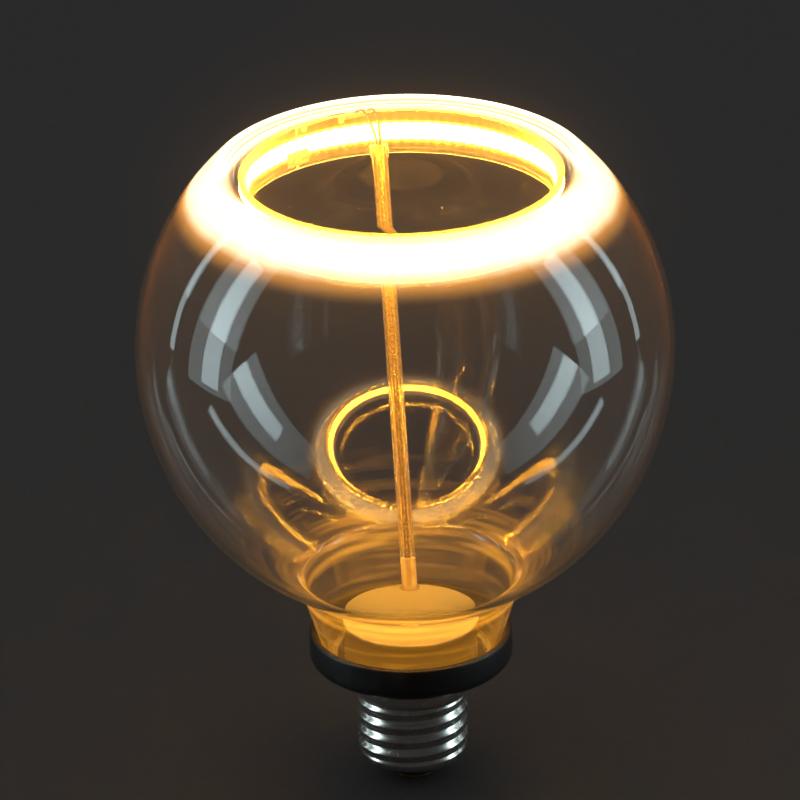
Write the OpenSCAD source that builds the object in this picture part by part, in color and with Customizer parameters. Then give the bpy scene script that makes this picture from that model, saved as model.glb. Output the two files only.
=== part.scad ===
// LED globe bulb: clear globe with a flat top, a floating ring of light and a screw cap.
// Millimetres, +Z up along the bulb's axis, origin at the tip of the centre contact.

/* [Globe] */
// Outer diameter of the glass globe
globe_d = 125; // [123:0.5:128]
// Half height of the lower half, which is slightly longer than the upper one
globe_drop = 64.5; // [63.5:0.5:66]
// Height of the flat top above the widest level
top_rise = 45.5; // [44:0.5:47]
// Radius of the edge round the flat top
top_edge_r = 1.6; // [1.3:0.1:3]
// Thickness of the glass
glass_wall = 1.1; // [0.8:0.1:1.3]
// From the widest level down to the open end of the neck
neck_depth = 78; // [77:0.5:80]
// Outer diameter of the neck at its open end
mouth_d = 40; // [39.5:0.5:42]
// Angle of the neck's side from the vertical
neck_taper = 17.7; // [16:0.5:19]
// Radius of the hollow between globe and neck
shoulder_r = 3; // [2:0.5:4]

/* [Light ring] */
// Gap between the band's upper edge and the glass round it
side_gap = 6.03; // [5:0.01:8]
// Height of the clear band
band_h = 10.6; // [9.6:0.2:11.6]
// Thickness of the clear band
band_wall = 1.2; // [0.8:0.1:1.5]
// Gap between the band's upper edge and the glass above it
band_gap = 1.5; // [1.3:0.1:4]
// Width of the fine groove near the band's lower edge
groove_w = 0.3; // [0.2:0.1:0.5]
// Depth of that groove
groove_depth = 0.2; // [0.1:0.1:0.4]
// From the band's lower edge to the groove
groove_rise = 1.1; // [0.8:0.1:1.5]
// Slit where the two ends of the band meet
slit_w = 0.4; // [0.2:0.1:0.8]
// Angle of that slit, from straight back towards the left
slit_angle = 41; // [38:1:44]
// Length of the plate that bonds the two ends, along the band
bond_l = 6.6; // [5:0.2:8]
// Height of that plate
bond_h = 3.4; // [2.5:0.1:4]
// Thickness of that plate
bond_t = 0.5; // [0.3:0.1:0.8]
// Height of the flexible circuit round the band
circuit_h = 5; // [4:0.2:5.6]
// Thickness of that circuit
circuit_t = 0.25; // [0.1:0.05:0.4]
// Number of light chips
chip_count = 96; // [72:1:104]
// Width of a chip package along the band
chip_w = 1.4; // [1:0.1:1.6]
// Height of a chip package
chip_h = 2.8; // [2:0.1:3.4]
// Thickness of a chip package
chip_t = 0.7; // [0.4:0.1:1]
// Thickness of the phosphor on a chip
phosphor_t = 0.35; // [0.2:0.05:0.6]
// Bare rim of the package round its phosphor
phosphor_rim = 0.15; // [0.1:0.05:0.3]
// Outer diameter of a wire eyelet
eyelet_d = 1.5; // [1.3:0.1:1.6]
// Hole in a wire eyelet
eyelet_hole_d = 0.6; // [0.4:0.1:0.8]
// Thickness of a wire eyelet
eyelet_t = 0.4; // [0.3:0.1:0.6]
// Angle of the first eyelet, from straight back towards the left
near_eyelet_angle = 21.5; // [20:0.5:24]
// Angle of the second eyelet
far_eyelet_angle = 36.5; // [34:0.5:38]

/* [Support tube] */
// Outer diameter of the clear tube
tube_d = 3.6; // [3.2:0.1:4]
// Bore of the clear tube
tube_bore = 2; // [1.8:0.1:2.2]
// From the foot's centre to the edge of the driver cover
foot_inset = 2.4; // [2.2:0.1:3]
// Length of the peg that carries the tube
peg_l = 7.9; // [6:0.1:10]
// Angle of the tube's head, from straight back towards the left
head_angle = 8.4; // [6:0.2:10]
// How far the tube's head reaches above the band's lower edge
head_reach = 3.3; // [3:0.1:4]
// Width of the saddle that bonds the head to the band
saddle_w = 4.6; // [4.2:0.1:5.4]
// Height of that saddle
saddle_h = 2.6; // [2:0.1:2.8]
// Diameter of the two wires to the ring
wire_d = 0.6; // [0.4:0.05:0.65]

/* [Driver housing] */
// How far the round white cover reaches past the cup
cover_lip = 0.2; // [0.1:0.1:0.4]
// Thickness of the cover
cover_t = 1.2; // [1:0.1:1.6]
// Gap between the cup and the soft seal round it
cup_gap = 2; // [1:0.2:3]
// Height of the cup
cup_h = 9.4; // [9:0.1:10]
// Wall of the cup
cup_wall = 1.4; // [1:0.1:1.6]
// Thickness of the cup's floor
cup_floor = 1.2; // [1:0.1:2]
// Gap between the sleeve that reaches down into the cap and the cap's thread
sleeve_gap = 0.6; // [0.4:0.1:1]
// Wall of the sleeve
sleeve_wall = 1.3; // [1:0.1:1.5]
// Thickness of the rails that hold the circuit board
rail_t = 0.8; // [0.6:0.1:1.2]
// How far a rail grips over the board's edge
rail_grip = 1; // [0.8:0.1:1.4]

/* [Collar] */
// Thickness of the floor that the neck stands over
collar_floor = 3; // [2.5:0.1:4]
// Wall of the rim round the neck
collar_wall = 1.5; // [1.2:0.1:2.5]
// Height of the rim above the neck's open end
collar_rim = 6; // [4:0.5:7]
// How far the foot reaches out past the cap
foot_lip = 0.9; // [0.5:0.1:1.5]
// Height of the plain edge round the foot
foot_edge = 0.6; // [0.4:0.1:1]
// Thickness of the soft seal under the neck
seal_t = 1.5; // [1:0.1:2]
// Width of the soft seal
seal_w = 2.6; // [2:0.1:3]

/* [Screw cap] */
// Height of the whole cap, with its contact
cap_h = 27; // [26.5:0.5:28]
// Largest diameter over the thread
thread_d = 26.2; // [25.9:0.1:26.4]
// Depth of the thread
thread_depth = 0.9; // [0.8:0.05:0.95]
// Pitch of the thread
thread_pitch = 3.63; // [3.5:0.01:3.7]
// Length of the threaded part
thread_l = 15.5; // [14.5:0.5:16]
// How far the plain skirt above the thread stands out past it
skirt_flare = 0.2; // [0.1:0.05:0.4]
// Thickness of the cap's sheet metal
sheet_t = 0.3; // [0.2:0.05:0.35]
// Height of the sheet metal's lower edge
shell_base = 5.4; // [5:0.1:5.8]
// Radius of the turned-in lower edge
shell_curl = 1.6; // [1.2:0.1:1.8]
// Diameter of the insulator at its lower end
insulator_nose_d = 11.4; // [10.8:0.2:12.4]
// Hole through the insulator
insulator_bore = 2.4; // [2:0.1:3]
// Diameter of the centre contact
contact_d = 9.5; // [9:0.1:10]
// Thickness of the centre contact
contact_t = 1; // [0.8:0.1:1.2]
// Height of the solder tip below the contact
tip_h = 0.5; // [0.4:0.1:0.7]
// Diameter of the flat on the solder tip
tip_flat_d = 4.4; // [4:0.2:5]

/* [Driver circuit] */
// Gap between the circuit board's edge and the sleeve
board_gap = 0.4; // [0.2:0.1:0.6]
// Thickness of the circuit board
board_t = 1; // [0.8:0.1:1.2]
// How far the board reaches below the sleeve
board_reach = 3; // [2:0.5:4]
// Gap between the board's lower edge and the insulator
board_rise = 3.3; // [3:0.1:4]
// Diameter of the storage capacitor
capacitor_d = 8; // [7:0.1:8.4]
// Length of the storage capacitor
capacitor_l = 12; // [10:0.5:13]
// Diameter of the inductor's core
inductor_d = 6.4; // [5.6:0.2:7]
// Length of the inductor
inductor_l = 6; // [5:0.2:6.4]
// Flange thickness of the inductor's core
inductor_flange = 0.9; // [0.7:0.1:1.2]
// Depth of the winding below the flanges' edge
winding_inset = 0.4; // [0.2:0.1:0.6]
// Diameter of the inductor's inner core
inductor_core_d = 3; // [2.4:0.2:3.4]
// Diameter of the fuse resistor
fuse_d = 2.8; // [2.4:0.1:3]
// Length of the fuse resistor
fuse_l = 7; // [6:0.2:8]
// Size of the bridge rectifier: width, thickness and height
rectifier_size = [4.8, 2.4, 4.2]; // [2:0.1:6]
// Size of a driver chip
driver_chip_size = [3.9, 1.5, 4.9]; // [1:0.1:5]
// Size of the film capacitor
film_size = [7, 4, 5.4]; // [3:0.1:7.4]
// Diameter of the surge varistor
varistor_d = 7; // [6:0.2:7.2]
// Thickness of the surge varistor
varistor_t = 3.2; // [2.6:0.1:3.6]
// Size of a chip resistor
resistor_size = [1.6, 0.6, 3.2]; // [0.4:0.1:3.4]
// Diameter of the wire to the centre contact
contact_wire_d = 0.8; // [0.6:0.05:0.9]

/* [Hidden] */
$fn = 96;
// Fit of pieces that slide into one another, fit of glass and tube, and a hair's breadth
fit_gap = 0.2;
glass_gap = 0.3;
hair = 0.05;
// A length that is sure to pass through any wall
through = 20;
// Steps, in degrees, of the long arcs, and of small rounded edges
arc_step = 5;
fine_step = 15;
// Bevel on moulded edges and on thin sheet
bevel = 0.4;
fine_bevel = 0.3;

// Heights, stacked from the contact upwards
collar_floor_z = cap_h + collar_floor;
mouth_z = collar_floor_z + seal_t;
globe_z = mouth_z + neck_depth;
top_z = globe_z + top_rise;
cup_top_z = collar_floor_z + cup_h;
cover_top_z = cup_top_z + cover_t;
thread_base_z = shell_base + shell_curl;
insulator_top_z = thread_base_z - sheet_t;
board_base_z = insulator_top_z + board_rise;
board_top_z = cup_top_z - board_gap;
sleeve_base_z = board_base_z + board_reach;
contact_top_z = tip_h + contact_t;

// Light ring
band_top_z = top_z - glass_wall - band_gap;
band_outer_r = sqrt(pow(globe_d / 2 - glass_wall, 2) - pow(band_top_z - globe_z, 2)) - side_gap;
band_r = band_outer_r - band_wall;
band_base_z = band_top_z - band_h;
ring_z = band_base_z + band_h / 2;
circuit_r = band_outer_r + circuit_t;
package_r = circuit_r + chip_t;
chip_step = 360 / chip_count;
slit_deg = slit_w / band_r * 180 / PI;
bond_deg = bond_l / band_r * 180 / PI;
eyelet_z = (band_top_z + ring_z + circuit_h / 2) / 2;

// Neck: the cup stands inside the seal, and the cover lies on the cup
mouth_r = mouth_d / 2;
seal_r = mouth_r + fit_gap;
cup_r = seal_r - seal_w - cup_gap;
cover_r = cup_r + cover_lip;

// Support tube, from the centre of its foot on the cover to the centre of its upper end
foot_pt = [0, cover_r - foot_inset, cover_top_z];
head_r = band_r - tube_d / 2 - glass_gap;
head_z = band_base_z + head_reach;
head_pt = [-head_r * sin(head_angle), head_r * cos(head_angle), head_z];
tube_v = head_pt - foot_pt;
tube_axis = tube_v / norm(tube_v);
tube_side = cross([0, 0, 1], tube_axis) / norm(cross([0, 0, 1], tube_axis));
wire_r = wire_d / 2;
wire_side = wire_r + hair;

// Collar, with the sleeve in its bore
neck_m = tan(neck_taper);
rim_z = mouth_z + collar_rim;
rim_inner_r = mouth_r + collar_rim * neck_m + glass_gap / cos(neck_taper);
floor_inner_r = mouth_r + glass_gap / cos(neck_taper) - seal_t * neck_m;
sleeve_r = thread_d / 2 - thread_depth - sheet_t - sleeve_gap;
sleeve_inner_r = sleeve_r - sleeve_wall;
collar_bore_r = sleeve_r + fit_gap;
skirt_r = thread_d / 2 + skirt_flare;
collar_foot_r = skirt_r + foot_lip;

// Screw cap
thread_amp = thread_depth / 2;
thread_mean_r = thread_d / 2 - thread_amp;
thread_top_z = thread_base_z + thread_l;
thread_fade = 0.4 * thread_pitch;
shell_sides = 32;
skirt_base_z = thread_top_z + thread_fade / 2;
spigot_r = skirt_r * cos(180 / shell_sides) - sheet_t - hair;
spigot_base_z = skirt_base_z + fit_gap;
shell_lip_r = thread_mean_r - shell_curl;
contact_r = contact_d / 2;
contact_wire_r = contact_wire_d / 2;

// Places of the parts on the circuit board, as heights above the board's lower edge
board_w = 2 * (sleeve_inner_r - board_gap);
board_face = board_t / 2 + hair;
part_gap = 0.6;
fuse_place = fuse_d / 2 + part_gap;
capacitor_place = fuse_place + fuse_d / 2 + 2 * part_gap;
inductor_place = capacitor_place + capacitor_l + 2 * part_gap;
film_place = 2 * part_gap;
varistor_place = film_place + film_size[2] + part_gap;
chips_place = varistor_place + varistor_d + part_gap;
rectifier_place = chips_place + part_gap;
resistor_place = 1;
resistor_step = resistor_size[2] + part_gap;
resistor_rows = 5;

function unit(v) = v / norm(v);
function polar_pt(a, r, z) = [-r * sin(a), r * cos(a), z];

// Half outline of the glass, at a depth w below its outer surface, from the axis at the top
// round to the open end of the neck
function edge_r(w) = max(top_edge_r - w, hair);
function edge_z(w) = top_rise - w - edge_r(w);
function edge_x(w) = sqrt(pow(globe_d / 2 - w - edge_r(w), 2) - pow(edge_z(w), 2));
function edge_end(w) = atan2(edge_z(w), edge_x(w));
function top_edge(w) = let (n = 4) [for (i = [0 : n])
    let (a = 90 + (edge_end(w) - 90) * i / n)
    [edge_x(w) + edge_r(w) * cos(a), globe_z + edge_z(w) + edge_r(w) * sin(a)]];
function upper_side(w) = let (n = ceil(edge_end(w) / arc_step))
    [for (i = [1 : n])
        let (a = edge_end(w) * (1 - i / n))
        [(globe_d / 2 - w) * cos(a), globe_z + (globe_d / 2 - w) * sin(a)]];

// Where the straight side of the neck would meet the lower half of the globe
function neck_r0(w) = mouth_r - w / cos(neck_taper);
function neck_q(w) = neck_r0(w) + neck_m * (globe_z - mouth_z);
function neck_a(w) = pow(neck_m / (globe_d / 2 - w), 2) + 1 / pow(globe_drop - w, 2);
function neck_b(w) = 2 * neck_q(w) * neck_m / pow(globe_d / 2 - w, 2);
function neck_c(w) = pow(neck_q(w) / (globe_d / 2 - w), 2) - 1;
function corner_u(w) = (-neck_b(w) - sqrt(pow(neck_b(w), 2) - 4 * neck_a(w) * neck_c(w))) / (2 * neck_a(w));
function corner_t(w) = asin(-corner_u(w) / (globe_drop - w));
function corner_pt(w) = [neck_q(w) + neck_m * corner_u(w), globe_z + corner_u(w)];
function globe_slope(w) = atan2((globe_drop - w) * cos(corner_t(w)), (globe_d / 2 - w) * sin(corner_t(w)));
function corner_half(w) = (90 + globe_slope(w) + neck_taper) / 2;
function fillet_r(w) = shoulder_r + w;
function fillet_reach(w) = fillet_r(w) / tan(corner_half(w));
function fillet_centre(w) = let (a = globe_slope(w) - corner_half(w))
    corner_pt(w) + fillet_r(w) / sin(corner_half(w)) * [cos(a), sin(a)];
function side_end(w) = let (speed = norm([(globe_d / 2 - w) * sin(corner_t(w)),
                                          (globe_drop - w) * cos(corner_t(w))]))
    corner_t(w) - (fillet_reach(w) + hair) / speed * 180 / PI;
function lower_side(w) = let (n = ceil(side_end(w) / arc_step))
    [for (i = [1 : n])
        let (a = side_end(w) * i / n)
        [(globe_d / 2 - w) * cos(a), globe_z - (globe_drop - w) * sin(a)]];
function shoulder(w) = let (first = globe_slope(w) + 90, last = 180 - neck_taper, n = 4)
    [for (i = [0 : n])
        let (a = first + (last - first) * i / n)
        fillet_centre(w) + fillet_r(w) * [cos(a), sin(a)]];
function glass_line(w) = concat([[0, top_z - w]], top_edge(w), upper_side(w), lower_side(w), shoulder(w),
    [[neck_r0(w), mouth_z]]);
function backwards(list) = [for (i = [len(list) - 1 : -1 : 0]) list[i]];

// A round wire along a list of points, as one closed solid
wire_sides = 8;
function tangent(p, i) = unit(p[min(i + 1, len(p) - 1)] - p[max(i - 1, 0)]);
function carried(v, t) = unit(v - (v * t) * t);
function first_normal(t) = carried(abs(t[0]) < 0.8 ? [1, 0, 0] : [0, 1, 0], t);
function wire_normals(p) = [for (i = 0, n = first_normal(tangent(p, 0)); i < len(p);
    i = i + 1, n = i < len(p) ? carried(n, tangent(p, i)) : n) n];
function wire_points(p, r) = let (normals = wire_normals(p))
    [for (i = [0 : len(p) - 1], k = [0 : wire_sides - 1])
        let (a = 360 * k / wire_sides, n = normals[i], b = cross(tangent(p, i), n))
        p[i] + r * (cos(a) * n + sin(a) * b)];
module wire(p, r) {
    last = (len(p) - 1) * wire_sides;
    polyhedron(wire_points(p, r), concat(
        [[for (k = [0 : wire_sides - 1]) k]],
        [[for (k = [wire_sides - 1 : -1 : 0]) last + k]],
        [for (i = [0 : len(p) - 2], k = [0 : wire_sides - 1])
            let (a = i * wire_sides, b = (k + 1) % wire_sides)
            [a + k, a + wire_sides + k, a + wire_sides + b, a + b]]));
}

// The route of a ring wire: up the board, under the cover, through the tube and over the band.
// Side is 1 for the left wire and -1 for the right one
solder_x = 2;
bend = 1.2;
under_z = cup_top_z - wire_d;
over_z = band_top_z + wire_r + fit_gap;
wire_out_r = band_outer_r + wire_r + 2 * hair;
eyelet_wire_r = wire_out_r + eyelet_t;
function bore_pt(t, side) = foot_pt + t * tube_axis + side * wire_side * tube_side;
function route_start(side) = [
    [-solder_x * side, board_t / 2 + wire_r, board_top_z - 2 * bend],
    [-solder_x * side, board_t / 2 + wire_r, board_top_z - bend],
    [-solder_x * side, board_t / 2 + bend, under_z],
    [-wire_side * side, foot_pt[1] - 3 * bend, under_z],
    [-wire_side * side, foot_pt[1] - bend, under_z],
    bore_pt(-bend / 2, side),
    bore_pt(fit_gap, side),
    bore_pt(norm(tube_v) + fit_gap, side)];
function left_crossing() = [
    polar_pt(head_angle + 1.4, head_r + fit_gap, head_z + 2 * bend),
    polar_pt(head_angle + 3.4, head_r + 4 * fit_gap, band_top_z - bend),
    polar_pt(head_angle + 4.9, band_r - fit_gap, over_z),
    polar_pt(head_angle + 5.6, band_r + band_wall / 2, over_z + 2 * hair),
    polar_pt(head_angle + 6.3, wire_out_r, over_z - bend / 3),
    polar_pt(head_angle + 7.6, wire_out_r, over_z - bend + fit_gap),
    polar_pt(near_eyelet_angle, wire_out_r + 2 * hair, over_z - bend + 2 * fit_gap),
    polar_pt((near_eyelet_angle + far_eyelet_angle) / 2, wire_out_r + 2 * hair, over_z - bend),
    polar_pt(far_eyelet_angle - 1.5, eyelet_wire_r, eyelet_z + fit_gap),
    polar_pt(far_eyelet_angle, eyelet_wire_r, eyelet_z)];
function right_crossing() = [
    polar_pt(head_angle - 0.4, head_r + fit_gap, head_z + 2 * bend),
    polar_pt(head_angle + 0.2, head_r + 4 * fit_gap, band_top_z - bend),
    polar_pt(head_angle + 1.2, band_r - fit_gap, over_z),
    polar_pt(head_angle + 1.9, band_r + band_wall / 2, over_z + 2 * hair),
    polar_pt(head_angle + 2.5, wire_out_r, over_z - bend / 3),
    polar_pt(head_angle + 3.6, wire_out_r, over_z - bend - fit_gap),
    polar_pt(head_angle + 5.6, wire_out_r, eyelet_z + 2 * fit_gap),
    polar_pt(near_eyelet_angle - 2.4, wire_out_r, eyelet_z + 2 * hair),
    polar_pt(near_eyelet_angle - 1.2, eyelet_wire_r, eyelet_z),
    polar_pt(near_eyelet_angle, eyelet_wire_r, eyelet_z)];

// Outer radius of the cap's sheet metal at height z and angle a
function ease(x) = let (t = min(max(x, 0), 1)) t * t * (3 - 2 * t);
function thread_swell(z) = thread_amp * ease((z - thread_base_z) / thread_fade)
    * ease((thread_top_z - z) / thread_fade);
function shell_curve(z) = z < thread_base_z
    ? thread_mean_r - shell_curl + sqrt(pow(shell_curl, 2) - pow(thread_base_z - z, 2))
    : thread_mean_r + (skirt_r - thread_mean_r) * ease((z - thread_top_z + thread_fade / 2) / thread_fade);
function shell_r(z, a) = shell_curve(z) + thread_swell(z) * cos(360 * z / thread_pitch - a);
thread_rows = round(6 * thread_l / thread_pitch);
curl_rows = 5;
shell_rows = concat(
    [for (i = [0 : curl_rows - 1]) thread_base_z - shell_curl * cos(90 * i / curl_rows)],
    [for (i = [0 : thread_rows]) thread_base_z + thread_l * i / thread_rows],
    [skirt_base_z, cap_h]);

module above_board(place, side) {
    translate([0, side * board_face, board_base_z + place]) children();
}

module along_tube() {
    translate(foot_pt)
        rotate([0, acos(tube_axis[2]), atan2(tube_v[1], tube_v[0])]) children();
}

module wedge_ring(r1, r2, h, deg) {
    rotate_extrude(angle = deg) translate([r1, 0]) square([r2 - r1, h]);
}

module globe_glass() {
    color([0.9, 0.93, 0.93, 0.25])
        rotate_extrude() polygon(concat(glass_line(0), backwards(glass_line(glass_wall))));
}

// The band is one strip, bent round until its ends almost meet at the slit
module ring_band() {
    color([0.95, 0.9, 0.75, 0.4])
        translate([0, 0, band_base_z])
            rotate([0, 0, 90 + slit_angle + slit_deg / 2])
                rotate_extrude(angle = 360 - slit_deg) difference() {
                    translate([band_r, 0]) square([band_wall, band_h]);
                    translate([band_r - hair, groove_rise]) square([groove_depth + hair, groove_w]);
                }
}

module band_bond() {
    color([0.95, 0.85, 0.55])
        translate([0, 0, band_base_z + groove_rise + groove_w])
            rotate([0, 0, 90 + slit_angle - bond_deg / 2])
                wedge_ring(band_r - bond_t, band_r, bond_h, bond_deg);
}

module led_circuit() {
    color([0.85, 0.6, 0.3])
        translate([0, 0, ring_z - circuit_h / 2])
            rotate([0, 0, 90 + slit_angle + slit_deg / 2])
                wedge_ring(band_outer_r, circuit_r, circuit_h, 360 - slit_deg);
}

module round_the_ring() {
    for (i = [0 : chip_count - 1])
        rotate([0, 0, 90 + slit_angle + (i + 0.5) * chip_step]) children();
}

module led_packages() {
    color([0.95, 0.93, 0.88])
        round_the_ring()
            translate([circuit_r, -chip_w / 2, ring_z - chip_h / 2]) cube([chip_t, chip_w, chip_h]);
}

module led_phosphors() {
    w = chip_w - 2 * phosphor_rim;
    h = chip_h - 2 * phosphor_rim;
    color([1, 0.75, 0.2])
        round_the_ring() translate([package_r, -w / 2, ring_z - h / 2]) cube([phosphor_t, w, h]);
}

module wire_eyelets() {
    color([0.8, 0.75, 0.6])
        for (a = [near_eyelet_angle, far_eyelet_angle])
            rotate([0, 0, 90 + a]) translate([band_outer_r, 0, eyelet_z]) rotate([0, 90, 0])
                difference() {
                    cylinder(h = eyelet_t, d = eyelet_d);
                    translate([0, 0, -hair]) cylinder(h = eyelet_t + 2 * hair, d = eyelet_hole_d);
                }
}

module ring_wire_left() {
    color([0.75, 0.3, 0.15]) wire(concat(route_start(1), left_crossing()), wire_r);
}

module ring_wire_right() {
    color([0.3, 0.25, 0.2]) wire(concat(route_start(-1), right_crossing()), wire_r);
}

module support_tube() {
    color([0.95, 0.9, 0.8, 0.4])
        along_tube() difference() {
            translate([0, 0, peg_l]) cylinder(h = norm(tube_v) - peg_l, d = tube_d);
            cylinder(h = norm(tube_v) + through, d = tube_bore);
        }
}

// A clear block that fills the space between the tube's head and the band
module tube_saddle() {
    deep = band_r - head_r + tube_d;
    color([0.95, 0.9, 0.7, 0.6])
        difference() {
            intersection() {
                translate([0, 0, band_base_z + fit_gap]) cylinder(h = saddle_h, r = band_r);
                rotate([0, 0, 90 + head_angle])
                    translate([band_r - deep, -saddle_w / 2, band_base_z])
                        cube([deep + band_wall, saddle_w, band_h]);
            }
            along_tube() cylinder(h = norm(tube_v) + through, d = tube_d + 2 * hair);
        }
}

// The peg rises from the cover at the tube's slant, and the wires run up through it
module tube_peg() {
    color([0.95, 0.93, 0.88])
        difference() {
            along_tube() difference() {
                translate([0, 0, -tube_d]) cylinder(h = tube_d + peg_l, d = tube_d);
                translate([0, 0, -through]) cylinder(h = 2 * through, d = tube_bore);
            }
            translate(foot_pt - [through / 2, through / 2, through]) cube(through);
        }
}

module driver_cover() {
    color([0.96, 0.95, 0.92])
        difference() {
            translate([0, 0, cup_top_z]) cylinder(h = cover_t, r = cover_r);
            along_tube() translate([0, 0, -through / 2]) cylinder(h = through, d = tube_bore);
        }
}

// The cup and its sleeve are one moulding. Rails inside the sleeve grip the board's edges
module driver_housing() {
    rail_w = rail_grip + board_gap + sleeve_wall / 2;
    sleeve_h = collar_floor_z - sleeve_base_z;
    color([0.92, 0.92, 0.9]) {
        rotate_extrude() polygon([
            [cup_r, cup_top_z],
            [cup_r, collar_floor_z],
            [sleeve_r, collar_floor_z],
            [sleeve_r, sleeve_base_z],
            [sleeve_inner_r, sleeve_base_z],
            [sleeve_inner_r, collar_floor_z + cup_floor],
            [cup_r - cup_wall, collar_floor_z + cup_floor],
            [cup_r - cup_wall, cup_top_z]]);
        for (x = [-1, 1], y = [-1, 1])
            translate([x * (board_w / 2 - rail_grip + rail_w / 2), y * (board_face + rail_t / 2),
                       sleeve_base_z + sleeve_h / 2])
                cube([rail_w, rail_t, sleeve_h], center = true);
    }
}

module circuit_board() {
    color([0.15, 0.4, 0.2])
        translate([-board_w / 2, -board_t / 2, board_base_z])
            cube([board_w, board_t, board_top_z - board_base_z]);
}

module storage_capacitor() {
    color([0.15, 0.15, 0.2])
        above_board(capacitor_place, 1) translate([0, capacitor_d / 2, 0])
            rotate_extrude() polygon([
                [0, 0],
                [capacitor_d / 2, 0],
                [capacitor_d / 2, capacitor_l / 8],
                [capacitor_d / 2 - fine_bevel, capacitor_l / 6],
                [capacitor_d / 2, capacitor_l / 5],
                [capacitor_d / 2, capacitor_l - bevel],
                [capacitor_d / 2 - bevel, capacitor_l],
                [0, capacitor_l]]);
}

module inductor_core() {
    r = inductor_d / 2;
    color([0.25, 0.25, 0.27])
        above_board(inductor_place, 1) translate([0, r, 0]) {
            cylinder(h = inductor_flange, r = r);
            translate([0, 0, inductor_l - inductor_flange]) cylinder(h = inductor_flange, r = r);
            cylinder(h = inductor_l, d = inductor_core_d);
        }
}

module inductor_winding() {
    color([0.75, 0.4, 0.2])
        above_board(inductor_place + inductor_flange, 1) translate([0, inductor_d / 2, 0])
            difference() {
                cylinder(h = inductor_l - 2 * inductor_flange, r = inductor_d / 2 - winding_inset);
                translate([0, 0, -hair])
                    cylinder(h = inductor_l, d = inductor_core_d);
            }
}

module box_on_board(size, place, side) {
    above_board(place, side)
        translate([-size[0] / 2, side > 0 ? 0 : -size[1], 0]) cube(size);
}

module bridge_rectifier() {
    color([0.12, 0.12, 0.12])
        translate([-rectifier_size[0] / 2 - fit_gap, 0, 0])
            box_on_board(rectifier_size, rectifier_place, -1);
}

module driver_chips() {
    color([0.1, 0.1, 0.1])
        for (i = [0, 1])
            translate([driver_chip_size[0] / 2 + fit_gap, 0, 0])
                box_on_board(driver_chip_size, chips_place + i * (driver_chip_size[2] + part_gap), -1);
}

module film_capacitor() {
    color([0.7, 0.25, 0.1]) box_on_board(film_size, film_place, -1);
}

module surge_varistor() {
    color([0.2, 0.35, 0.6])
        above_board(varistor_place + varistor_d / 2, -1)
            rotate([90, 0, 0]) cylinder(h = varistor_t, d = varistor_d);
}

module fuse_resistor() {
    end_l = fuse_l / 7;
    waist_r = fuse_d / 2 - fine_bevel;
    color([0.45, 0.6, 0.65])
        above_board(fuse_place, 1) translate([-fuse_l / 2, fuse_d / 2, 0])
            rotate([0, 90, 0]) rotate_extrude() polygon([
                [0, 0],
                [fuse_d / 2, 0],
                [fuse_d / 2, end_l],
                [waist_r, end_l + bevel],
                [waist_r, fuse_l - end_l - bevel],
                [fuse_d / 2, fuse_l - end_l],
                [fuse_d / 2, fuse_l],
                [0, fuse_l]]);
}

module chip_resistors() {
    color([0.15, 0.15, 0.17])
        for (i = [0 : resistor_rows - 1], x = [-1, 1])
            translate([x * (board_w / 2 - rail_grip - part_gap - resistor_size[0] / 2), 0, 0])
                box_on_board(resistor_size, resistor_place + i * resistor_step, 1);
}

// From the end of the fuse resistor, down to the insulator's bore and the solder in the contact
module contact_wire() {
    y = board_face + fuse_d / 2;
    z = board_base_z + fuse_place;
    x = -fuse_l / 2;
    color([0.75, 0.72, 0.68])
        wire([
            [x, y, z],
            [x - bend / 2, y, z],
            [x - bend, y - bend / 4, z - bend / 2],
            [x - bend, y - bend / 2, z - 3 / 2 * bend],
            [-2 * bend, y - bend, board_base_z - bend],
            [-bend / 2, bend / 4, insulator_top_z + bend],
            [0, 0, insulator_top_z - bevel],
            [0, 0, tip_h]], contact_wire_r);
}

// From the board's corner to the inside of the cap's thread
module shell_wire() {
    y = -board_face - wire_r;
    pad_x = board_w / 2 - bend;
    shell_x = sqrt(pow(thread_mean_r - sheet_t - 2 * hair, 2) - pow(y - wire_r, 2));
    color([0.75, 0.72, 0.68])
        wire([
            [pad_x, y, board_base_z + 2 * bend],
            [pad_x, y, board_base_z + bend / 2],
            [pad_x + bend / 3, y, board_base_z - bend / 2],
            [shell_x - bend, y, thread_base_z + bend / 3],
            [shell_x - bend / 2, y, thread_base_z],
            [shell_x, y, thread_base_z]], wire_r);
}

module neck_seal() {
    color([0.9, 0.9, 0.88])
        translate([0, 0, collar_floor_z]) difference() {
            cylinder(h = seal_t, r = seal_r - seal_t * neck_m);
            translate([0, 0, -hair]) cylinder(h = seal_t + 2 * hair, r = seal_r - seal_w);
        }
}

// Outer line of the collar: a straight rim, then a bowl that draws in to the cap
bowl_r = rim_inner_r + collar_wall - collar_foot_r;
bowl_h = collar_floor + seal_t;
module neck_collar() {
    outer_r = rim_inner_r + collar_wall;
    color([0.12, 0.12, 0.12])
        rotate_extrude() polygon(concat(
            [[rim_inner_r, rim_z], [outer_r - bevel, rim_z], [outer_r, rim_z - bevel]],
            [for (a = [0 : fine_step : 90])
                [collar_foot_r + bowl_r * cos(a), cap_h + foot_edge + bowl_h * (1 - sin(a))]],
            [[collar_foot_r, cap_h],
             [spigot_r, cap_h],
             [spigot_r, spigot_base_z],
             [collar_bore_r, spigot_base_z],
             [collar_bore_r, collar_floor_z],
             [floor_inner_r, collar_floor_z]]));
}

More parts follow.
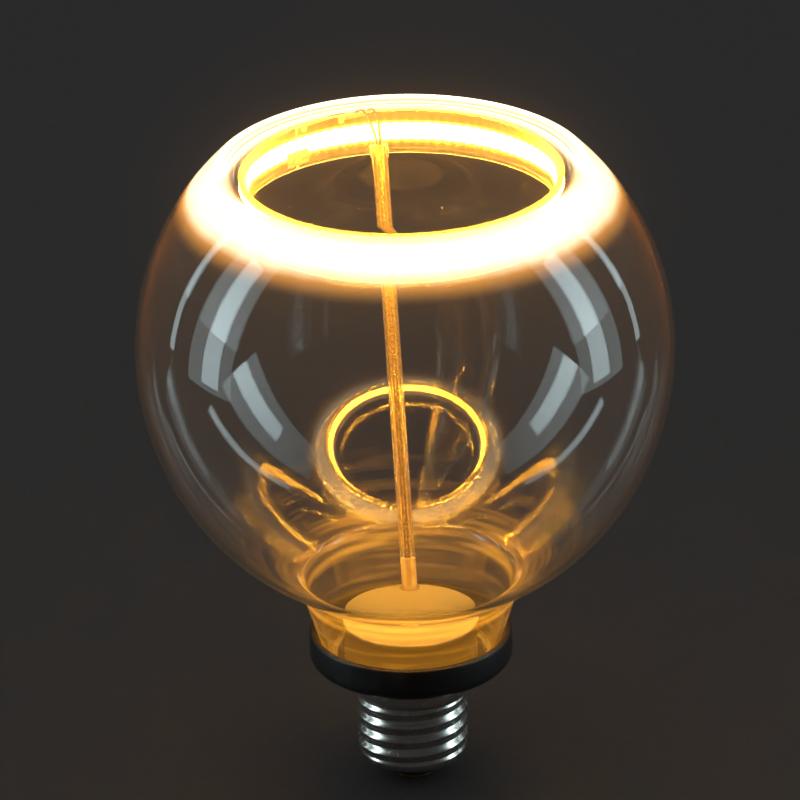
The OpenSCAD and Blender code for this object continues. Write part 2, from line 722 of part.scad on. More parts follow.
module cap_shell() {
    n = shell_sides;
    rows = len(shell_rows);
    half = rows * n;
    points = [for (s = [0, 1], z = shell_rows, k = [0 : n - 1])
        let (a = 360 * k / n, r = shell_r(z, a) - s * sheet_t)
        [r * cos(a), r * sin(a), z]];
    side = [for (j = [0 : rows - 2], k = [0 : n - 1])
        let (a = j * n, b = (k + 1) % n)
        [a + k, a + n + k, a + n + b, a + b]];
    inner_side = [for (f = side) [for (i = [3 : -1 : 0]) f[i] + half]];
    base = [for (k = [0 : n - 1]) let (b = (k + 1) % n) [k, b, half + b, half + k]];
    top = half - n;
    rim = [for (k = [0 : n - 1]) let (b = (k + 1) % n) [top + b, top + k, half + top + k, half + top + b]];
    color([0.8, 0.78, 0.74]) polyhedron(points, concat(side, inner_side, base, rim));
}

module cap_insulator() {
    nose_r = insulator_nose_d / 2;
    plug_r = shell_lip_r - sheet_t - hair;
    color([0.06, 0.06, 0.07])
        rotate_extrude() polygon([
            [insulator_bore / 2, insulator_top_z],
            [plug_r, insulator_top_z],
            [plug_r, shell_base],
            [shell_lip_r, shell_base - hair],
            [shell_lip_r - bevel, shell_base - bevel],
            [nose_r, contact_top_z + fine_bevel],
            [nose_r - bevel, contact_top_z],
            [insulator_bore / 2, contact_top_z]]);
}

module centre_contact() {
    color([0.75, 0.6, 0.3])
        rotate_extrude() polygon([
            [contact_wire_r + hair, tip_h],
            [contact_r - fine_bevel, tip_h],
            [contact_r, tip_h + fine_bevel],
            [contact_r, contact_top_z],
            [insulator_bore / 2 - hair, contact_top_z],
            [insulator_bore / 2 - hair, contact_top_z + contact_t],
            [contact_wire_r + hair, contact_top_z + contact_t]]);
}

module contact_solder() {
    color([0.7, 0.7, 0.72])
        rotate_extrude() polygon(concat(
            [[0, tip_h], [0, 0]],
            [for (a = [-90 : fine_step : 0])
                [tip_flat_d / 2 + 2 * tip_h * cos(a), tip_h * (1 + sin(a))]]));
}

globe_glass();
ring_band();
band_bond();
led_circuit();
led_packages();
led_phosphors();
wire_eyelets();
ring_wire_left();
ring_wire_right();
support_tube();
tube_saddle();
tube_peg();
driver_cover();
driver_housing();
circuit_board();
storage_capacitor();
inductor_core();
inductor_winding();
bridge_rectifier();
driver_chips();
film_capacitor();
surge_varistor();
fuse_resistor();
chip_resistors();
contact_wire();
shell_wire();
neck_seal();
neck_collar();
cap_shell();
cap_insulator();
centre_contact();
contact_solder();
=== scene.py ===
# %% [markdown]
# # A clear globe bulb with a floating ring of light
# A blown glass globe with a flat top holds a ring of light. One slanting tube carries the ring
# and its two wires, and stands on the white cover of the driver in the neck. Below the globe come
# a black collar and a screw cap. The measured solids come from the CAD model, and this lesson
# gives each piece that shows a finer mesh, and every piece a finish.

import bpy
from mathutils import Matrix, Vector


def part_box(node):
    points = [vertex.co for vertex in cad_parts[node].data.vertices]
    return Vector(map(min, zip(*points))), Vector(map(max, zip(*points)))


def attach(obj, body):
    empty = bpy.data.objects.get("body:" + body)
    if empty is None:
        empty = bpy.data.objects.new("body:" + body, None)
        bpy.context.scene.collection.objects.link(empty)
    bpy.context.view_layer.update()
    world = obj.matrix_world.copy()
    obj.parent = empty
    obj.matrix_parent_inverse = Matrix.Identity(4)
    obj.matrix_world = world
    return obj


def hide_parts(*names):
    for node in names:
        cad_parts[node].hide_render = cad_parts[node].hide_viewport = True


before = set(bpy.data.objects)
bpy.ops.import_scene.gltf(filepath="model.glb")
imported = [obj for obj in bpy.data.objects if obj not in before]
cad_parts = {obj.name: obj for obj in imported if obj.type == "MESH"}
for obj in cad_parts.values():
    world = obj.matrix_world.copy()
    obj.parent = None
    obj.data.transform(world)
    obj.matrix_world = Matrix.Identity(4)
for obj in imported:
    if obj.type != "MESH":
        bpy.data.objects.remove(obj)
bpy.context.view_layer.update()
print("pieces from CAD:", len(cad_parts))

# %% [markdown]
# ## Tools of the trade
# Meshes are edited in millimetres, because every size of a bulb is known in them. A piece is
# scaled to metres once, when it is handed over. The measured solids give most of the sizes here,
# so the new pieces stay where the old ones were.

# %% Sizes read from the solids
import math

import bmesh
import bpy
from mathutils import Matrix, Quaternion, Vector, noise


def span(node, axis):
    """Lowest and highest place of a CAD node along an axis, in millimetres."""
    low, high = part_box(node)
    return low[axis] * 1000, high[axis] * 1000


X, Y, Z = 0, 1, 2
GLOBE_R = span("globe_glass", X)[1]
MOUTH_Z, TOP_Z = span("globe_glass", Z)
BAND_BASE, BAND_TOP = span("ring_band", Z)
BAND_OUTER = span("ring_band", X)[1]
COVER_TOP = span("driver_cover", Z)[1]
print(f"globe {2 * GLOBE_R:.1f} mm across, ring {2 * BAND_OUTER:.1f} mm across")

# %% [markdown]
# ## The camera
# The photograph was taken with a long lens from 24 degrees above level, so the globe's outline is
# almost a plain circle. A short lens closer by would frame it as well, but it would open up the
# ring's ellipse. The bulb leans a little to the left, which is a roll of the camera.

# %% Place the camera
ELEVATION, ROLL = math.radians(24.3), math.radians(-1.2)
GLOBE_CENTRE = Vector((0, 0, 0.1095))
DISTANCE, LENS = 2.365, 460.8
SHIFT_RIGHT, SHIFT_UP = 0.00115, 0.01240


def aim_camera():
    """Sets the camera on its line to the globe, and shifts the frame to the photograph's."""
    to_camera = Vector((0, -math.cos(ELEVATION), math.sin(ELEVATION)))
    turn = (-to_camera).to_track_quat("-Z", "Y") @ Quaternion((0, 0, 1), ROLL)
    right, up = turn @ Vector((1, 0, 0)), turn @ Vector((0, 1, 0))
    aim = GLOBE_CENTRE - right * SHIFT_RIGHT - up * SHIFT_UP
    camera = bpy.data.objects.new("camera", bpy.data.cameras.new("camera"))
    camera.data.lens = LENS
    camera.data.clip_start, camera.data.clip_end = 0.1, 50
    camera.rotation_mode = "QUATERNION"
    camera.rotation_quaternion = turn
    camera.location = aim + to_camera * DISTANCE
    bpy.context.collection.objects.link(camera)
    bpy.context.scene.camera = camera
    return camera


camera = aim_camera()
print("camera at", [round(c, 3) for c in camera.location])

# %% [markdown]
# ## Shader sums as plain Python
# A finish is a net of nodes, and most of them only add and multiply. A small class wraps a socket,
# so that `1 - mask * 0.5` adds those nodes by itself. Colours and vectors keep their own nodes,
# because a Math node would turn them grey. All other nodes come from one method.

# %% The socket that can be used in sums
class Value:
    """An output of a shader node that can be used in sums."""

    def __init__(self, finish, socket):
        self.finish, self.socket = finish, socket

    def __add__(self, b):
        return self.finish.maths("ADD", self, b)

    def __sub__(self, b):
        return self.finish.maths("SUBTRACT", self, b)

    def __rsub__(self, b):
        return self.finish.maths("SUBTRACT", b, self)

    def __mul__(self, b):
        return self.finish.maths("MULTIPLY", self, b)

    def __pow__(self, b):
        return self.finish.maths("POWER", self, b)

    __radd__, __rmul__ = __add__, __mul__


# %% The finish that makes every node
class Finish:
    """A material, with its coordinates in millimetres."""

    def __init__(self, name):
        """Starts an empty material with the object's own coordinates."""
        self.material = bpy.data.materials.new(name)
        self.material.use_nodes = True
        self.nodes = self.material.node_tree.nodes
        self.nodes.clear()
        where = self.node("ShaderNodeTexCoord", output="Object")
        self.place = self.node("ShaderNodeVectorMath", {"operation": "SCALE"},
                               {"Vector": where, "Scale": 1000.0})

    def node(self, kind, settings={}, sockets=(), output=0):
        """Adds a node. Sockets are given by name or in order, as values or as links."""
        made = self.nodes.new(kind)
        for name, value in settings.items():
            if name == "stops":
                ramp = made.color_ramp.elements
                while len(ramp) < len(value):
                    ramp.new(1)
                for stop, (position, colour) in zip(ramp, value):
                    stop.position, stop.color = position, (*colour, 1)
            else:
                setattr(made, name, value)
        for key, value in sockets.items() if isinstance(sockets, dict) else enumerate(sockets):
            if isinstance(value, Value):
                self.material.node_tree.links.new(value.socket, made.inputs[key])
            elif isinstance(value, tuple) and len(value) == 3 and made.inputs[key].type == "RGBA":
                made.inputs[key].default_value = (*value, 1)
            else:
                made.inputs[key].default_value = value
        return Value(self, made.outputs[output]) if made.outputs else None

    def maths(self, operation, *values):
        return self.node("ShaderNodeMath", {"operation": operation}, values)

    def along(self, axis):
        """The place along X, Y or Z, in millimetres."""
        return self.node("ShaderNodeSeparateXYZ", {}, [self.place], "XYZ"[axis])

    def angle(self):
        """The angle round the bulb's axis, from -pi to pi."""
        return self.maths("ARCTAN2", self.along(Y), self.along(X))

    def outwards(self):
        """The distance from the bulb's axis, in millimetres."""
        x, y = self.along(X), self.along(Y)
        return (x * x + y * y) ** 0.5

    def cloud(self, size, detail=2.0, place=None, **more):
        """Soft noise from 0 to 1 whose blobs are about this many millimetres across."""
        sockets = {"Vector": place or self.place, "Scale": 1 / size, "Detail": detail, **more}
        return self.node("ShaderNodeTexNoise", {}, sockets, "Fac")

    def stretch(self, x, y, z):
        """Coordinates for noise that is drawn out along the axes with small numbers."""
        return self.node("ShaderNodeVectorMath", {"operation": "MULTIPLY"},
                         [self.place, Vector((x, y, z))])

    def step(self, value, low, high):
        """0 below low and 1 above high, with a soft change in between."""
        return self.node("ShaderNodeMapRange", {"interpolation_type": "SMOOTHSTEP"},
                         {0: value, 1: low, 2: high, 3: 0.0, 4: 1.0})

    def ramp(self, value, *stops):
        return self.node("ShaderNodeValToRGB", {"stops": stops}, [value], "Color")

    def mixed(self, factor, a, b):
        return self.node("ShaderNodeMix", {"data_type": "RGBA"}, {0: factor, 6: a, 7: b}, 2)

    def bump(self, height, millimetres, strength=1.0):
        return self.node("ShaderNodeBump", {}, {"Strength": strength,
                         "Distance": millimetres / 1000, "Height": height}, "Normal")

    def surface(self, **inputs):
        """Ends the finish with one Principled shader. Input names have _ for their spaces."""
        named = {name.replace("_", " "): value for name, value in inputs.items()}
        shader = self.node("ShaderNodeBsdfPrincipled", {}, named)
        self.node("ShaderNodeOutputMaterial", {}, {"Surface": shader})
        return self.material


FINISHES = {}
BLACK = (0.0, 0.0, 0.0)
print("the finish class is ready")

# %% [markdown]
# ## Handing a mesh over
# Every mesh below is made in a bmesh. When it is done, it is scaled to metres, its faces are turned
# outwards, and it rides on the bulb's one body. Edges sharper than an angle stay crisp, and the
# rest is shaded smooth.

# %% Helpers for meshes
def wire(bm, points, closed=False):
    """A line of edges through points of (radius, height), in the plane of X and Z."""
    verts = [bm.verts.new((r, 0, z)) for r, z in points]
    for a, b in zip(verts, verts[1:] + verts[:1] if closed else verts[1:]):
        bm.edges.new((a, b))
    return verts


def round_off(bm, corners, segments=4):
    """Rounds corners of a line, each given as a vertex and how far the rounding reaches."""
    for corner, reach in corners:
        bmesh.ops.bevel(bm, geom=[corner], offset=reach, segments=segments, profile=0.5,
                        affect="VERTICES", material=-1)


def swing(bm, verts, degrees, axis="Z"):
    """Turns points round an axis through the origin."""
    bmesh.ops.rotate(bm, cent=(0, 0, 0), verts=verts,
                     matrix=Matrix.Rotation(math.radians(degrees), 3, axis))


def turn(bm, steps, degrees=360.0):
    """Spins the whole line round the Z axis, as a lathe does."""
    bmesh.ops.spin(bm, geom=bm.verts[:] + bm.edges[:], cent=(0, 0, 0), axis=(0, 0, 1),
                   angle=math.radians(degrees), steps=steps, use_merge=degrees == 360.0)
    bmesh.ops.remove_doubles(bm, verts=bm.verts, dist=1e-4)


def bevel_edges(bm, edges, width, segments):
    """Rounds these edges."""
    bmesh.ops.bevel(bm, geom=edges, offset=width, segments=segments, profile=0.5,
                    affect="EDGES", material=-1)


def finished_mesh(bm, name):
    """Ends a bmesh as a mesh in metres, with its faces turned outwards."""
    bmesh.ops.scale(bm, vec=(0.001, 0.001, 0.001), verts=bm.verts)
    bmesh.ops.recalc_face_normals(bm, faces=bm.faces)
    mesh = bpy.data.meshes.new(name)
    bm.to_mesh(mesh)
    bm.free()
    return mesh


def evaluated_mesh(piece):
    """What a curve or an object with modifiers looks like, as a plain mesh."""
    bpy.context.view_layer.update()
    graph = bpy.context.evaluated_depsgraph_get()
    return bpy.data.meshes.new_from_object(piece.evaluated_get(graph))


def hand_over(bm, name, slot, *nodes, sharp=35):
    """Makes the bmesh an object of the bulb, which stands for these CAD nodes."""
    mesh = finished_mesh(bm, name)
    mesh.shade_smooth()
    mesh.set_sharp_from_angle(angle=math.radians(sharp))
    mesh.materials.append(FINISHES[slot])
    piece = bpy.data.objects.new(name, mesh)
    bpy.context.collection.objects.link(piece)
    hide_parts(*nodes)
    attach(piece, "root")
    print(name, "has", len(mesh.polygons), "faces")
    return piece


def paint_node(node, slot):
    """Gives a CAD node that stays its finish."""
    for material_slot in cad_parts[node].material_slots:
        material_slot.material = FINISHES[slot]


# %% [markdown]
# ## The blown globe
# The globe is one bubble of glass, blown into a mould that gives it a flat top, a lower half
# slightly longer than a sphere's, and a neck. Its wall is thin, but the glass gathers in the corner
# round the flat top, and there it bends the ring's light. A Solidify modifier would keep the wall
# even, so the outside and the inside are two lines with their own corner radius, joined at the
# neck's open end and turned on a lathe.
#
# Real glass catches some of the ring's light: in the thick corner, at the shoulder, and in fine
# lines round the neck. Tracing that light would need caustics, which are slow and grainy. So the
# finish glows weakly at those places, and a thin sheen warms the outline.

# %% Blown glass
DEEP_AMBER = (0.95, 0.36, 0.015)
CORNER_AMBER, CORNER_WHITE = (0.20, 0.08, 0.012), (0.62, 0.48, 0.29)
glass = Finish("blown_glass")
z = glass.along(Z)
# Heights are in millimetres: the shoulder is near 50, and the flat top at 155
low_down = 1 - glass.step(z, 46.0, 66.0)
ripple = glass.cloud(14.0, 1.0) + glass.cloud(5.0, 2.0) * (low_down * 0.4)
corner = glass.step(z, 142.5, 150.5) * glass.step(glass.outwards(), 39.0, 42.5)
corner = corner * (0.85 + glass.cloud(6.0, 3.0) * 0.3)
corner_light = glass.ramp(corner, (0.0, BLACK), (0.45, CORNER_AMBER), (0.95, CORNER_WHITE))
# Painted light: the emission paints the ring's light caught in the thick corner, at the shoulder
# and in fine lines round the neck.
caught_light_lines = glass.cloud(1.3, 2.0, glass.stretch(0.05, 0.05, 1.0))
in_lines = glass.step(caught_light_lines, 0.52, 0.62) * (1 - glass.step(z, 54.0, 68.0)) * 0.05
at_shoulder = glass.step(z, 45.0, 48.5) * (1 - glass.step(z, 51.0, 57.0))
at_shoulder = at_shoulder * (0.05 + glass.step(caught_light_lines, 0.4, 0.65) * 0.16)
in_neck = (1 - glass.step(z, 42.0, 50.0)) * 0.04
FINISHES["clear_glass"] = glass.surface(
    Base_Color=(1.0, 1.0, 1.0), Roughness=0.0, IOR=1.5, Transmission_Weight=0.994,
    Sheen_Weight=0.35, Sheen_Roughness=0.25, Sheen_Tint=(1.0, 0.55, 0.15), Emission_Strength=1.6,
    Emission_Color=glass.mixed(in_lines + at_shoulder + in_neck, corner_light, DEEP_AMBER),
    Normal=glass.bump(ripple * (0.06 + low_down * 0.94), 0.12))
FINISHES["clear_glass"].cycles.emission_sampling = "NONE"
print("the glass ripples most near the neck")

# %% The globe's outline
GLASS_WALL, TOP_RISE, DROP, MOUTH_R = 1.1, 45.5, 64.5, 20.0
OUTER_CORNER, INNER_CORNER = 3.0, 17.0
OUTER_SHOULDER, INNER_SHOULDER = 1.1, 1.3
GLOBE_STEPS, CORNER_STEPS, SIDE_STEPS, LOWER_STEPS, NECK_CUTS = 240, 18, 40, 50, 14
CENTRE_Z = TOP_Z - TOP_RISE
NECK_TAPER = math.radians(17.7)


def shoulder_angle(radius, drop, mouth_r):
    """Where the stretched lower half meets the straight neck, by halving the gap."""
    low, high = math.radians(50), math.radians(80)
    for _ in range(40):
        middle = (low + high) / 2
        neck = mouth_r + math.tan(NECK_TAPER) * (-drop * math.sin(middle) + CENTRE_Z - MOUTH_Z)
        low, high = (middle, high) if radius * math.cos(middle) > neck else (low, middle)
    return low


def glass_line(bm, wall, corner, shoulder):
    """From the middle of the flat top, round the globe and down to the neck's open end.
    Wall says how deep the line lies behind the globe's outer face."""
    radius, drop, top = GLOBE_R - wall, DROP - wall, TOP_RISE - wall
    mouth_r = MOUTH_R - wall / math.cos(NECK_TAPER)
    hub_z = top - corner
    hub_r = math.sqrt((radius - corner) ** 2 - hub_z ** 2)
    lean = math.atan2(hub_r, hub_z)
    start = bm.verts.new((0, 0, top))
    flat = bm.verts.new((hub_r, 0, top))
    bm.edges.new((start, flat))
    end = flat
    for hub, angle, steps in (
            ((hub_r, 0, hub_z), lean, CORNER_STEPS), ((0, 0, 0), math.pi / 2 - lean, SIDE_STEPS),
            ((0, 0, 0), shoulder_angle(radius, drop, mouth_r), LOWER_STEPS)):
        made = bmesh.ops.spin(bm, geom=[end], cent=hub, axis=(0, 1, 0), angle=angle, steps=steps)
        end = made["geom_last"][0]
    lower = [v for v in bm.verts if v.co.z < -1e-6]
    bmesh.ops.scale(bm, vec=(1, 1, drop / radius), verts=lower)
    mouth = bm.verts.new((mouth_r, 0, MOUTH_Z - CENTRE_Z))
    bm.edges.new((end, mouth))
    round_off(bm, [(end, shoulder)], segments=8)
    neck = [e for e in bm.edges if e.calc_length() > 5 and e.verts[0].co.z < 0]
    bmesh.ops.subdivide_edges(bm, edges=neck, cuts=NECK_CUTS)


bm = bmesh.new()
glass_line(bm, GLASS_WALL, INNER_CORNER, INNER_SHOULDER)
turn(bm, GLOBE_STEPS)
cavity = bpy.data.meshes.new("cavity")
bm.to_mesh(cavity)
bm.clear()
glass_line(bm, 0.0, OUTER_CORNER, OUTER_SHOULDER)
turn(bm, GLOBE_STEPS)
bm.from_mesh(cavity)
bpy.data.meshes.remove(cavity)
bmesh.ops.bridge_loops(bm, edges=[e for e in bm.edges if e.is_boundary])
bmesh.ops.translate(bm, vec=(0, 0, CENTRE_Z), verts=bm.verts)
globe = hand_over(bm, "blown_globe", "clear_glass", "globe_glass", sharp=50)
print("shoulder", round(math.degrees(shoulder_angle(GLOBE_R, DROP, MOUTH_R)), 1), "degrees down")

# %% [markdown]
# ## The clear band
# The ring's body is a strip of clear silicone bent round until its ends almost meet. It guides some
# of the chips' light, so its upper and lower edges glow amber. The strip is a small outline, with
# rounded corners and the fine groove near its lower edge, spun by a little less than a full turn.

# %% Lit silicone of the band
CHIPS, SLIT_AT, SLIT_DEGREES = 96, 131.0, 0.63
RING_Z = (BAND_BASE + BAND_TOP) / 2
FLAME = (1.0, 0.43, 0.03)


def chip_wave(finish):
    """1 at each chip and 0 between two, all the way round the ring."""
    turned = (finish.angle() - math.radians(SLIT_AT)) * CHIPS
    return finish.maths("COSINE", turned) * -0.5 + 0.5


band = Finish("lit_silicone")
from_middle = band.maths("ABSOLUTE", band.along(Z) - RING_Z)
fade = 1 - band.step(from_middle, 2.0, 5.2)
glow = (fade * 0.85 + 0.15) * (0.55 + chip_wave(band) * 0.45)
FINISHES["clear_band"] = band.surface(
    Base_Color=(1.0, 0.93, 0.8), Roughness=0.16 + band.cloud(1.2, 3.0) * 0.1, IOR=1.41,
    Transmission_Weight=0.985, Emission_Strength=0.6,
    Emission_Color=band.mixed(glow, BLACK, FLAME),
    Normal=band.bump(band.cloud(1.6, 2.0), 0.05))
print("chips round the ring:", CHIPS)

# %% Bend the band
BAND_WALL, CLOSE = 1.2, 0.02
BAND_INNER = BAND_OUTER - BAND_WALL
GROOVE_LOW, GROOVE_HIGH, GROOVE_R = BAND_BASE + 1.1, BAND_BASE + 1.4, BAND_INNER + 0.2
bm = bmesh.new()
corners = wire(bm, [
    (BAND_OUTER - CLOSE, BAND_BASE), (BAND_OUTER - CLOSE, BAND_TOP), (BAND_INNER, BAND_TOP),
    (BAND_INNER, GROOVE_HIGH), (GROOVE_R, GROOVE_HIGH), (GROOVE_R, GROOVE_LOW),
    (BAND_INNER, GROOVE_LOW), (BAND_INNER, BAND_BASE)], closed=True)
round_off(bm, [(corners[i], 0.18) for i in (0, 1, 2, 7)], segments=3)
turn(bm, 3 * CHIPS - 1, 360 - SLIT_DEGREES)
bmesh.ops.holes_fill(bm, edges=bm.edges, sides=0)
swing(bm, bm.verts, SLIT_AT + SLIT_DEGREES / 2)
silicone = hand_over(bm, "silicone_band", "clear_band", "ring_band")

# %% [markdown]
# ## The flexible circuit
# A thin amber circuit lies round the band, and the chips shine through it, so that the ring is
# as bright from inside as from outside. The CAD strip has the right shape and only needs a finish:
# a bright row with a bead at every chip, thin dark tracks above and below it, and dim edges.

# %% Circuit that the chips shine through
circuit = Finish("lit_circuit")
from_middle = circuit.maths("ABSOLUTE", circuit.along(Z) - RING_Z)
beads = chip_wave(circuit)
row = 1 - circuit.step(from_middle, 1.5 + beads * 0.35, 2.5)
track = circuit.step(from_middle, 2.02, 2.1) * (1 - circuit.step(from_middle, 2.2, 2.28))
light = (row * (0.45 + beads * 0.55) + 0.012) * (1 - track * 0.7)
FINISHES["flexible_circuit"] = circuit.surface(
    Base_Color=circuit.mixed(track, (0.86, 0.55, 0.2), (0.7, 0.28, 0.1)), Roughness=0.35,
    Emission_Color=circuit.mixed(light, BLACK, FLAME), Emission_Strength=160.0,
    Normal=circuit.bump(track, 0.03))
paint_node("led_circuit", "flexible_circuit")

# %% [markdown]
# ## The chips
# Each chip is a small white package with a lit window of phosphor. There are 96 of them, so each
# one has only a few dozen faces: a cube, stretched, with its edges bevelled, and copied round the
# ring. One joined mesh for all packages and one for all windows keeps the outliner short.

# %% White package and lit phosphor
package = Finish("chip_package")
speck = package.cloud(0.25, 2.0)
FINISHES["chip_package"] = package.surface(
    Base_Color=package.ramp(speck, (0.3, (0.82, 0.78, 0.68)), (0.8, (0.93, 0.91, 0.85))),
    Roughness=0.42, Subsurface_Weight=0.1, Subsurface_Radius=Vector((0.4, 0.2, 0.1)),
    Subsurface_Scale=0.001, Normal=package.bump(speck, 0.01))
phosphor = Finish("lit_phosphor")
grain = phosphor.cloud(0.12, 2.0)
FINISHES["phosphor"] = phosphor.surface(
    Base_Color=(0.95, 0.6, 0.12), Roughness=0.3, Emission_Strength=200.0,
    Emission_Color=phosphor.mixed(grain, (0.9, 0.33, 0.04), FLAME),
    Normal=phosphor.bump(grain, 0.01))
print("finishes so far:", len(FINISHES))


# %% Set the chips round the ring
def cuboid(bm, low, high, bevel):
    """A box between two corners, alone in its bmesh, with bevelled edges."""
    low, high = Vector(low), Vector(high)
    made = bmesh.ops.create_cube(bm, size=1)["verts"]
    bmesh.ops.scale(bm, vec=high - low, verts=made)
    bmesh.ops.translate(bm, vec=(low + high) / 2, verts=made)
    bevel_edges(bm, bm.edges[:], bevel, 1)


def copy_round(bm, count, first):
    """Copies the whole mesh count times round the Z axis, from the angle first."""
    whole = bm.verts[:] + bm.edges[:] + bm.faces[:]
    for i in range(1, count):
        copy = bmesh.ops.duplicate(bm, geom=whole)["geom"]
        swing(bm, [v for v in copy if isinstance(v, bmesh.types.BMVert)], 360 * i / count)
    swing(bm, bm.verts, first)


def chip_row(name, slot, node, rim, inner, outer, bevel):
    """A row of equal boxes round the ring, smaller than a chip by a rim, between two radii."""
    bm = bmesh.new()
    side, rise = CHIP_W / 2 - rim, CHIP_H / 2 - rim
    cuboid(bm, (inner, -side, RING_Z - rise), (outer, side, RING_Z + rise), bevel)
    copy_round(bm, CHIPS, SLIT_AT + 180 / CHIPS)
    return hand_over(bm, name, slot, node)


CHIP_W, CHIP_H = 1.4, 2.8
CIRCUIT_OUTER = span("led_circuit", X)[1]
PACKAGE_OUTER = CIRCUIT_OUTER + 0.7
chip_row("chip_packages", "chip_package", "led_packages", 0.0,
         CIRCUIT_OUTER - 0.05, PACKAGE_OUTER, 0.12)
phosphors = chip_row("phosphor_windows", "phosphor", "led_phosphors", 0.15,
                     PACKAGE_OUTER - 0.1, PACKAGE_OUTER + 0.33, 0.2)

# %% [markdown]
# ## Patch, eyelets and solder
# Where the band's ends meet, a crinkled patch of adhesive bonds them from the inside. It is a short
# spun strip whose points are pushed in and out by noise, with a wall from Solidify. The two wires
# end in small eyelets by the band's upper edge, each with a dab of solder.

# %% Pale adhesive and tinned metal
adhesive = Finish("pale_adhesive")
crinkle_and_glow = adhesive.cloud(0.7, 3.0, Distortion=0.6)
# The emission is painted glow of the ring's light, caught in the crinkled adhesive.
FINISHES["pale_adhesive"] = adhesive.surface(
    Base_Color=adhesive.ramp(crinkle_and_glow, (0.3, (0.85, 0.62, 0.3)), (0.7, (1.0, 0.9, 0.66))),
    Roughness=0.3 + crinkle_and_glow * 0.2, Transmission_Weight=0.35, IOR=1.45,
    Emission_Color=adhesive.ramp(crinkle_and_glow, (0.35, (0.5, 0.13, 0.01)), (0.7, (1.0, 0.45, 0.09))),
    Emission_Strength=1.1, Normal=adhesive.bump(crinkle_and_glow, 0.12))
tin = Finish("tinned_metal")
wear = tin.cloud(0.3, 3.0)
FINISHES["tinned_metal"] = tin.surface(
    Base_Color=tin.ramp(wear, (0.3, (0.72, 0.7, 0.66)), (0.75, (0.86, 0.85, 0.82))), Metallic=1.0,
    Roughness=0.22 + wear * 0.25, Normal=tin.bump(wear, 0.01))
print("finishes so far:", len(FINISHES))

# %% The bond patch
PATCH_R, PATCH_DEGREES, PATCH_BASE, PATCH_H = BAND_INNER - 0.16, 10.3, BAND_BASE + 1.4, 3.4
ROWS, COLUMNS, SOFT_EDGE = 16, 34, 0.5
bm = bmesh.new()
wire(bm, [(PATCH_R, PATCH_BASE + PATCH_H * i / ROWS) for i in range(ROWS + 1)])
turn(bm, COLUMNS, PATCH_DEGREES)
swing(bm, bm.verts, SLIT_AT - PATCH_DEGREES / 2)
for v in bm.verts:
    from_edge = min(v.co.z - PATCH_BASE, PATCH_BASE + PATCH_H - v.co.z) / SOFT_EDGE
    push = 0.13 * noise.noise(v.co * 1.3) + 0.06 * noise.noise(v.co * 3.1)
    v.co += Vector((v.co.x, v.co.y, 0)).normalized() * push * min(1, 0.3 + from_edge)
patch = hand_over(bm, "bond_patch", "pale_adhesive", "band_bond", sharp=80)
wall = patch.modifiers.new("wall", "SOLIDIFY")
wall.thickness, wall.offset = 0.00012, 0.0

# %% Eyelets with their solder
EYELET_ANGLES = (111.5, 126.5)
EYELET_Z = sum(span("wire_eyelets", Z)) / 2


def set_on_band(bm, verts, angle):
    """Turns points that were made along Z to point out of the band at an eyelet."""
    swing(bm, verts, 90, "Y")
    bmesh.ops.translate(bm, vec=(BAND_OUTER, 0, EYELET_Z), verts=verts)
    swing(bm, verts, angle)


def turned_outline(bm, points, roundings, segments, steps):
    """Turns an outline that ends on the axis, or goes all round when it starts away from it."""
    corners = wire(bm, points, closed=points[0][0] > 0)
    round_off(bm, [(corners[i], reach) for i, reach in roundings], segments)
    turn(bm, steps)


def one_per_eyelet(points, roundings, steps):
    """The same small turned piece on the band at both eyelets."""
    bm, mesh = bmesh.new(), bpy.data.meshes.new("passing")
    turned_outline(bm, points, roundings, 3, steps)
    bm.to_mesh(mesh)
    bm.clear()
    for angle in EYELET_ANGLES:
        start = len(bm.verts)
        bm.from_mesh(mesh)
        bm.verts.ensure_lookup_table()
        set_on_band(bm, bm.verts[start:], angle)
    bpy.data.meshes.remove(mesh)
    return bm


HOLE_R, EYELET_R, EYELET_T = 0.3, 0.75, 0.4
bm = one_per_eyelet([(HOLE_R, 0), (EYELET_R, 0), (EYELET_R, EYELET_T), (HOLE_R, EYELET_T)],
                    [(1, 0.08), (2, 0.14), (3, 0.14)], 24)
hand_over(bm, "wire_eyelets_rounded", "tinned_metal", "wire_eyelets")

# %% [markdown]
# ## The two wires
# Two thin enamelled wires climb inside the tube, cross the band's upper edge and run to the
# eyelets. A wire could be an extruded circle. A curve with a round bevel is simpler, because its
# points say where the wire goes, and the curve's handles give the soft bends of real wire. Next to
# the band the enamel glows a little, because the ring floods it with light there.

# %% Enamelled wire
ENAMELS = {
    "red_wire": ("red_enamel", (0.06, 0.012, 0.005), (0.16, 0.04, 0.012)),
    "dark_wire": ("dark_enamel", (0.03, 0.02, 0.014), (0.10, 0.055, 0.03)),
}
for slot, (name, dark, pale) in ENAMELS.items():
    enamel = Finish(name)
    streak = enamel.cloud(0.5, 3.0, enamel.stretch(1.0, 1.0, 0.2))
    flooded = enamel.step(enamel.along(Z), BAND_BASE + 1.5, BAND_BASE + 4.5) * (0.7 + streak * 0.6)
    FINISHES[slot] = enamel.surface(
        Base_Color=enamel.ramp(streak, (0.3, dark), (0.7, pale)), Roughness=0.25 + streak * 0.2,
        Emission_Color=enamel.mixed(flooded, BLACK, (1.0, 0.5, 0.12)), Emission_Strength=0.9,
        Coat_Weight=0.6, Coat_Roughness=0.1, Normal=enamel.bump(streak, 0.01))
print("finishes so far:", len(FINISHES))

# %% Where the wires go
FOOT = Vector((0, 13.4, COVER_TOP))
HEAD_ANGLE, BEND, GAP, HAIR, WIRE_R = 8.4, 1.2, 0.2, 0.05, 0.3
HEAD_R, HEAD_Z = BAND_INNER - 2.1, BAND_BASE + 3.3
CUP_TOP, BOARD_FACE = COVER_TOP - 1.2, 0.5


def on_ring(angle, r, z):
    """A place given by the angle from straight back towards the left."""
    return Vector((-r * math.sin(math.radians(angle)), r * math.cos(math.radians(angle)), z))


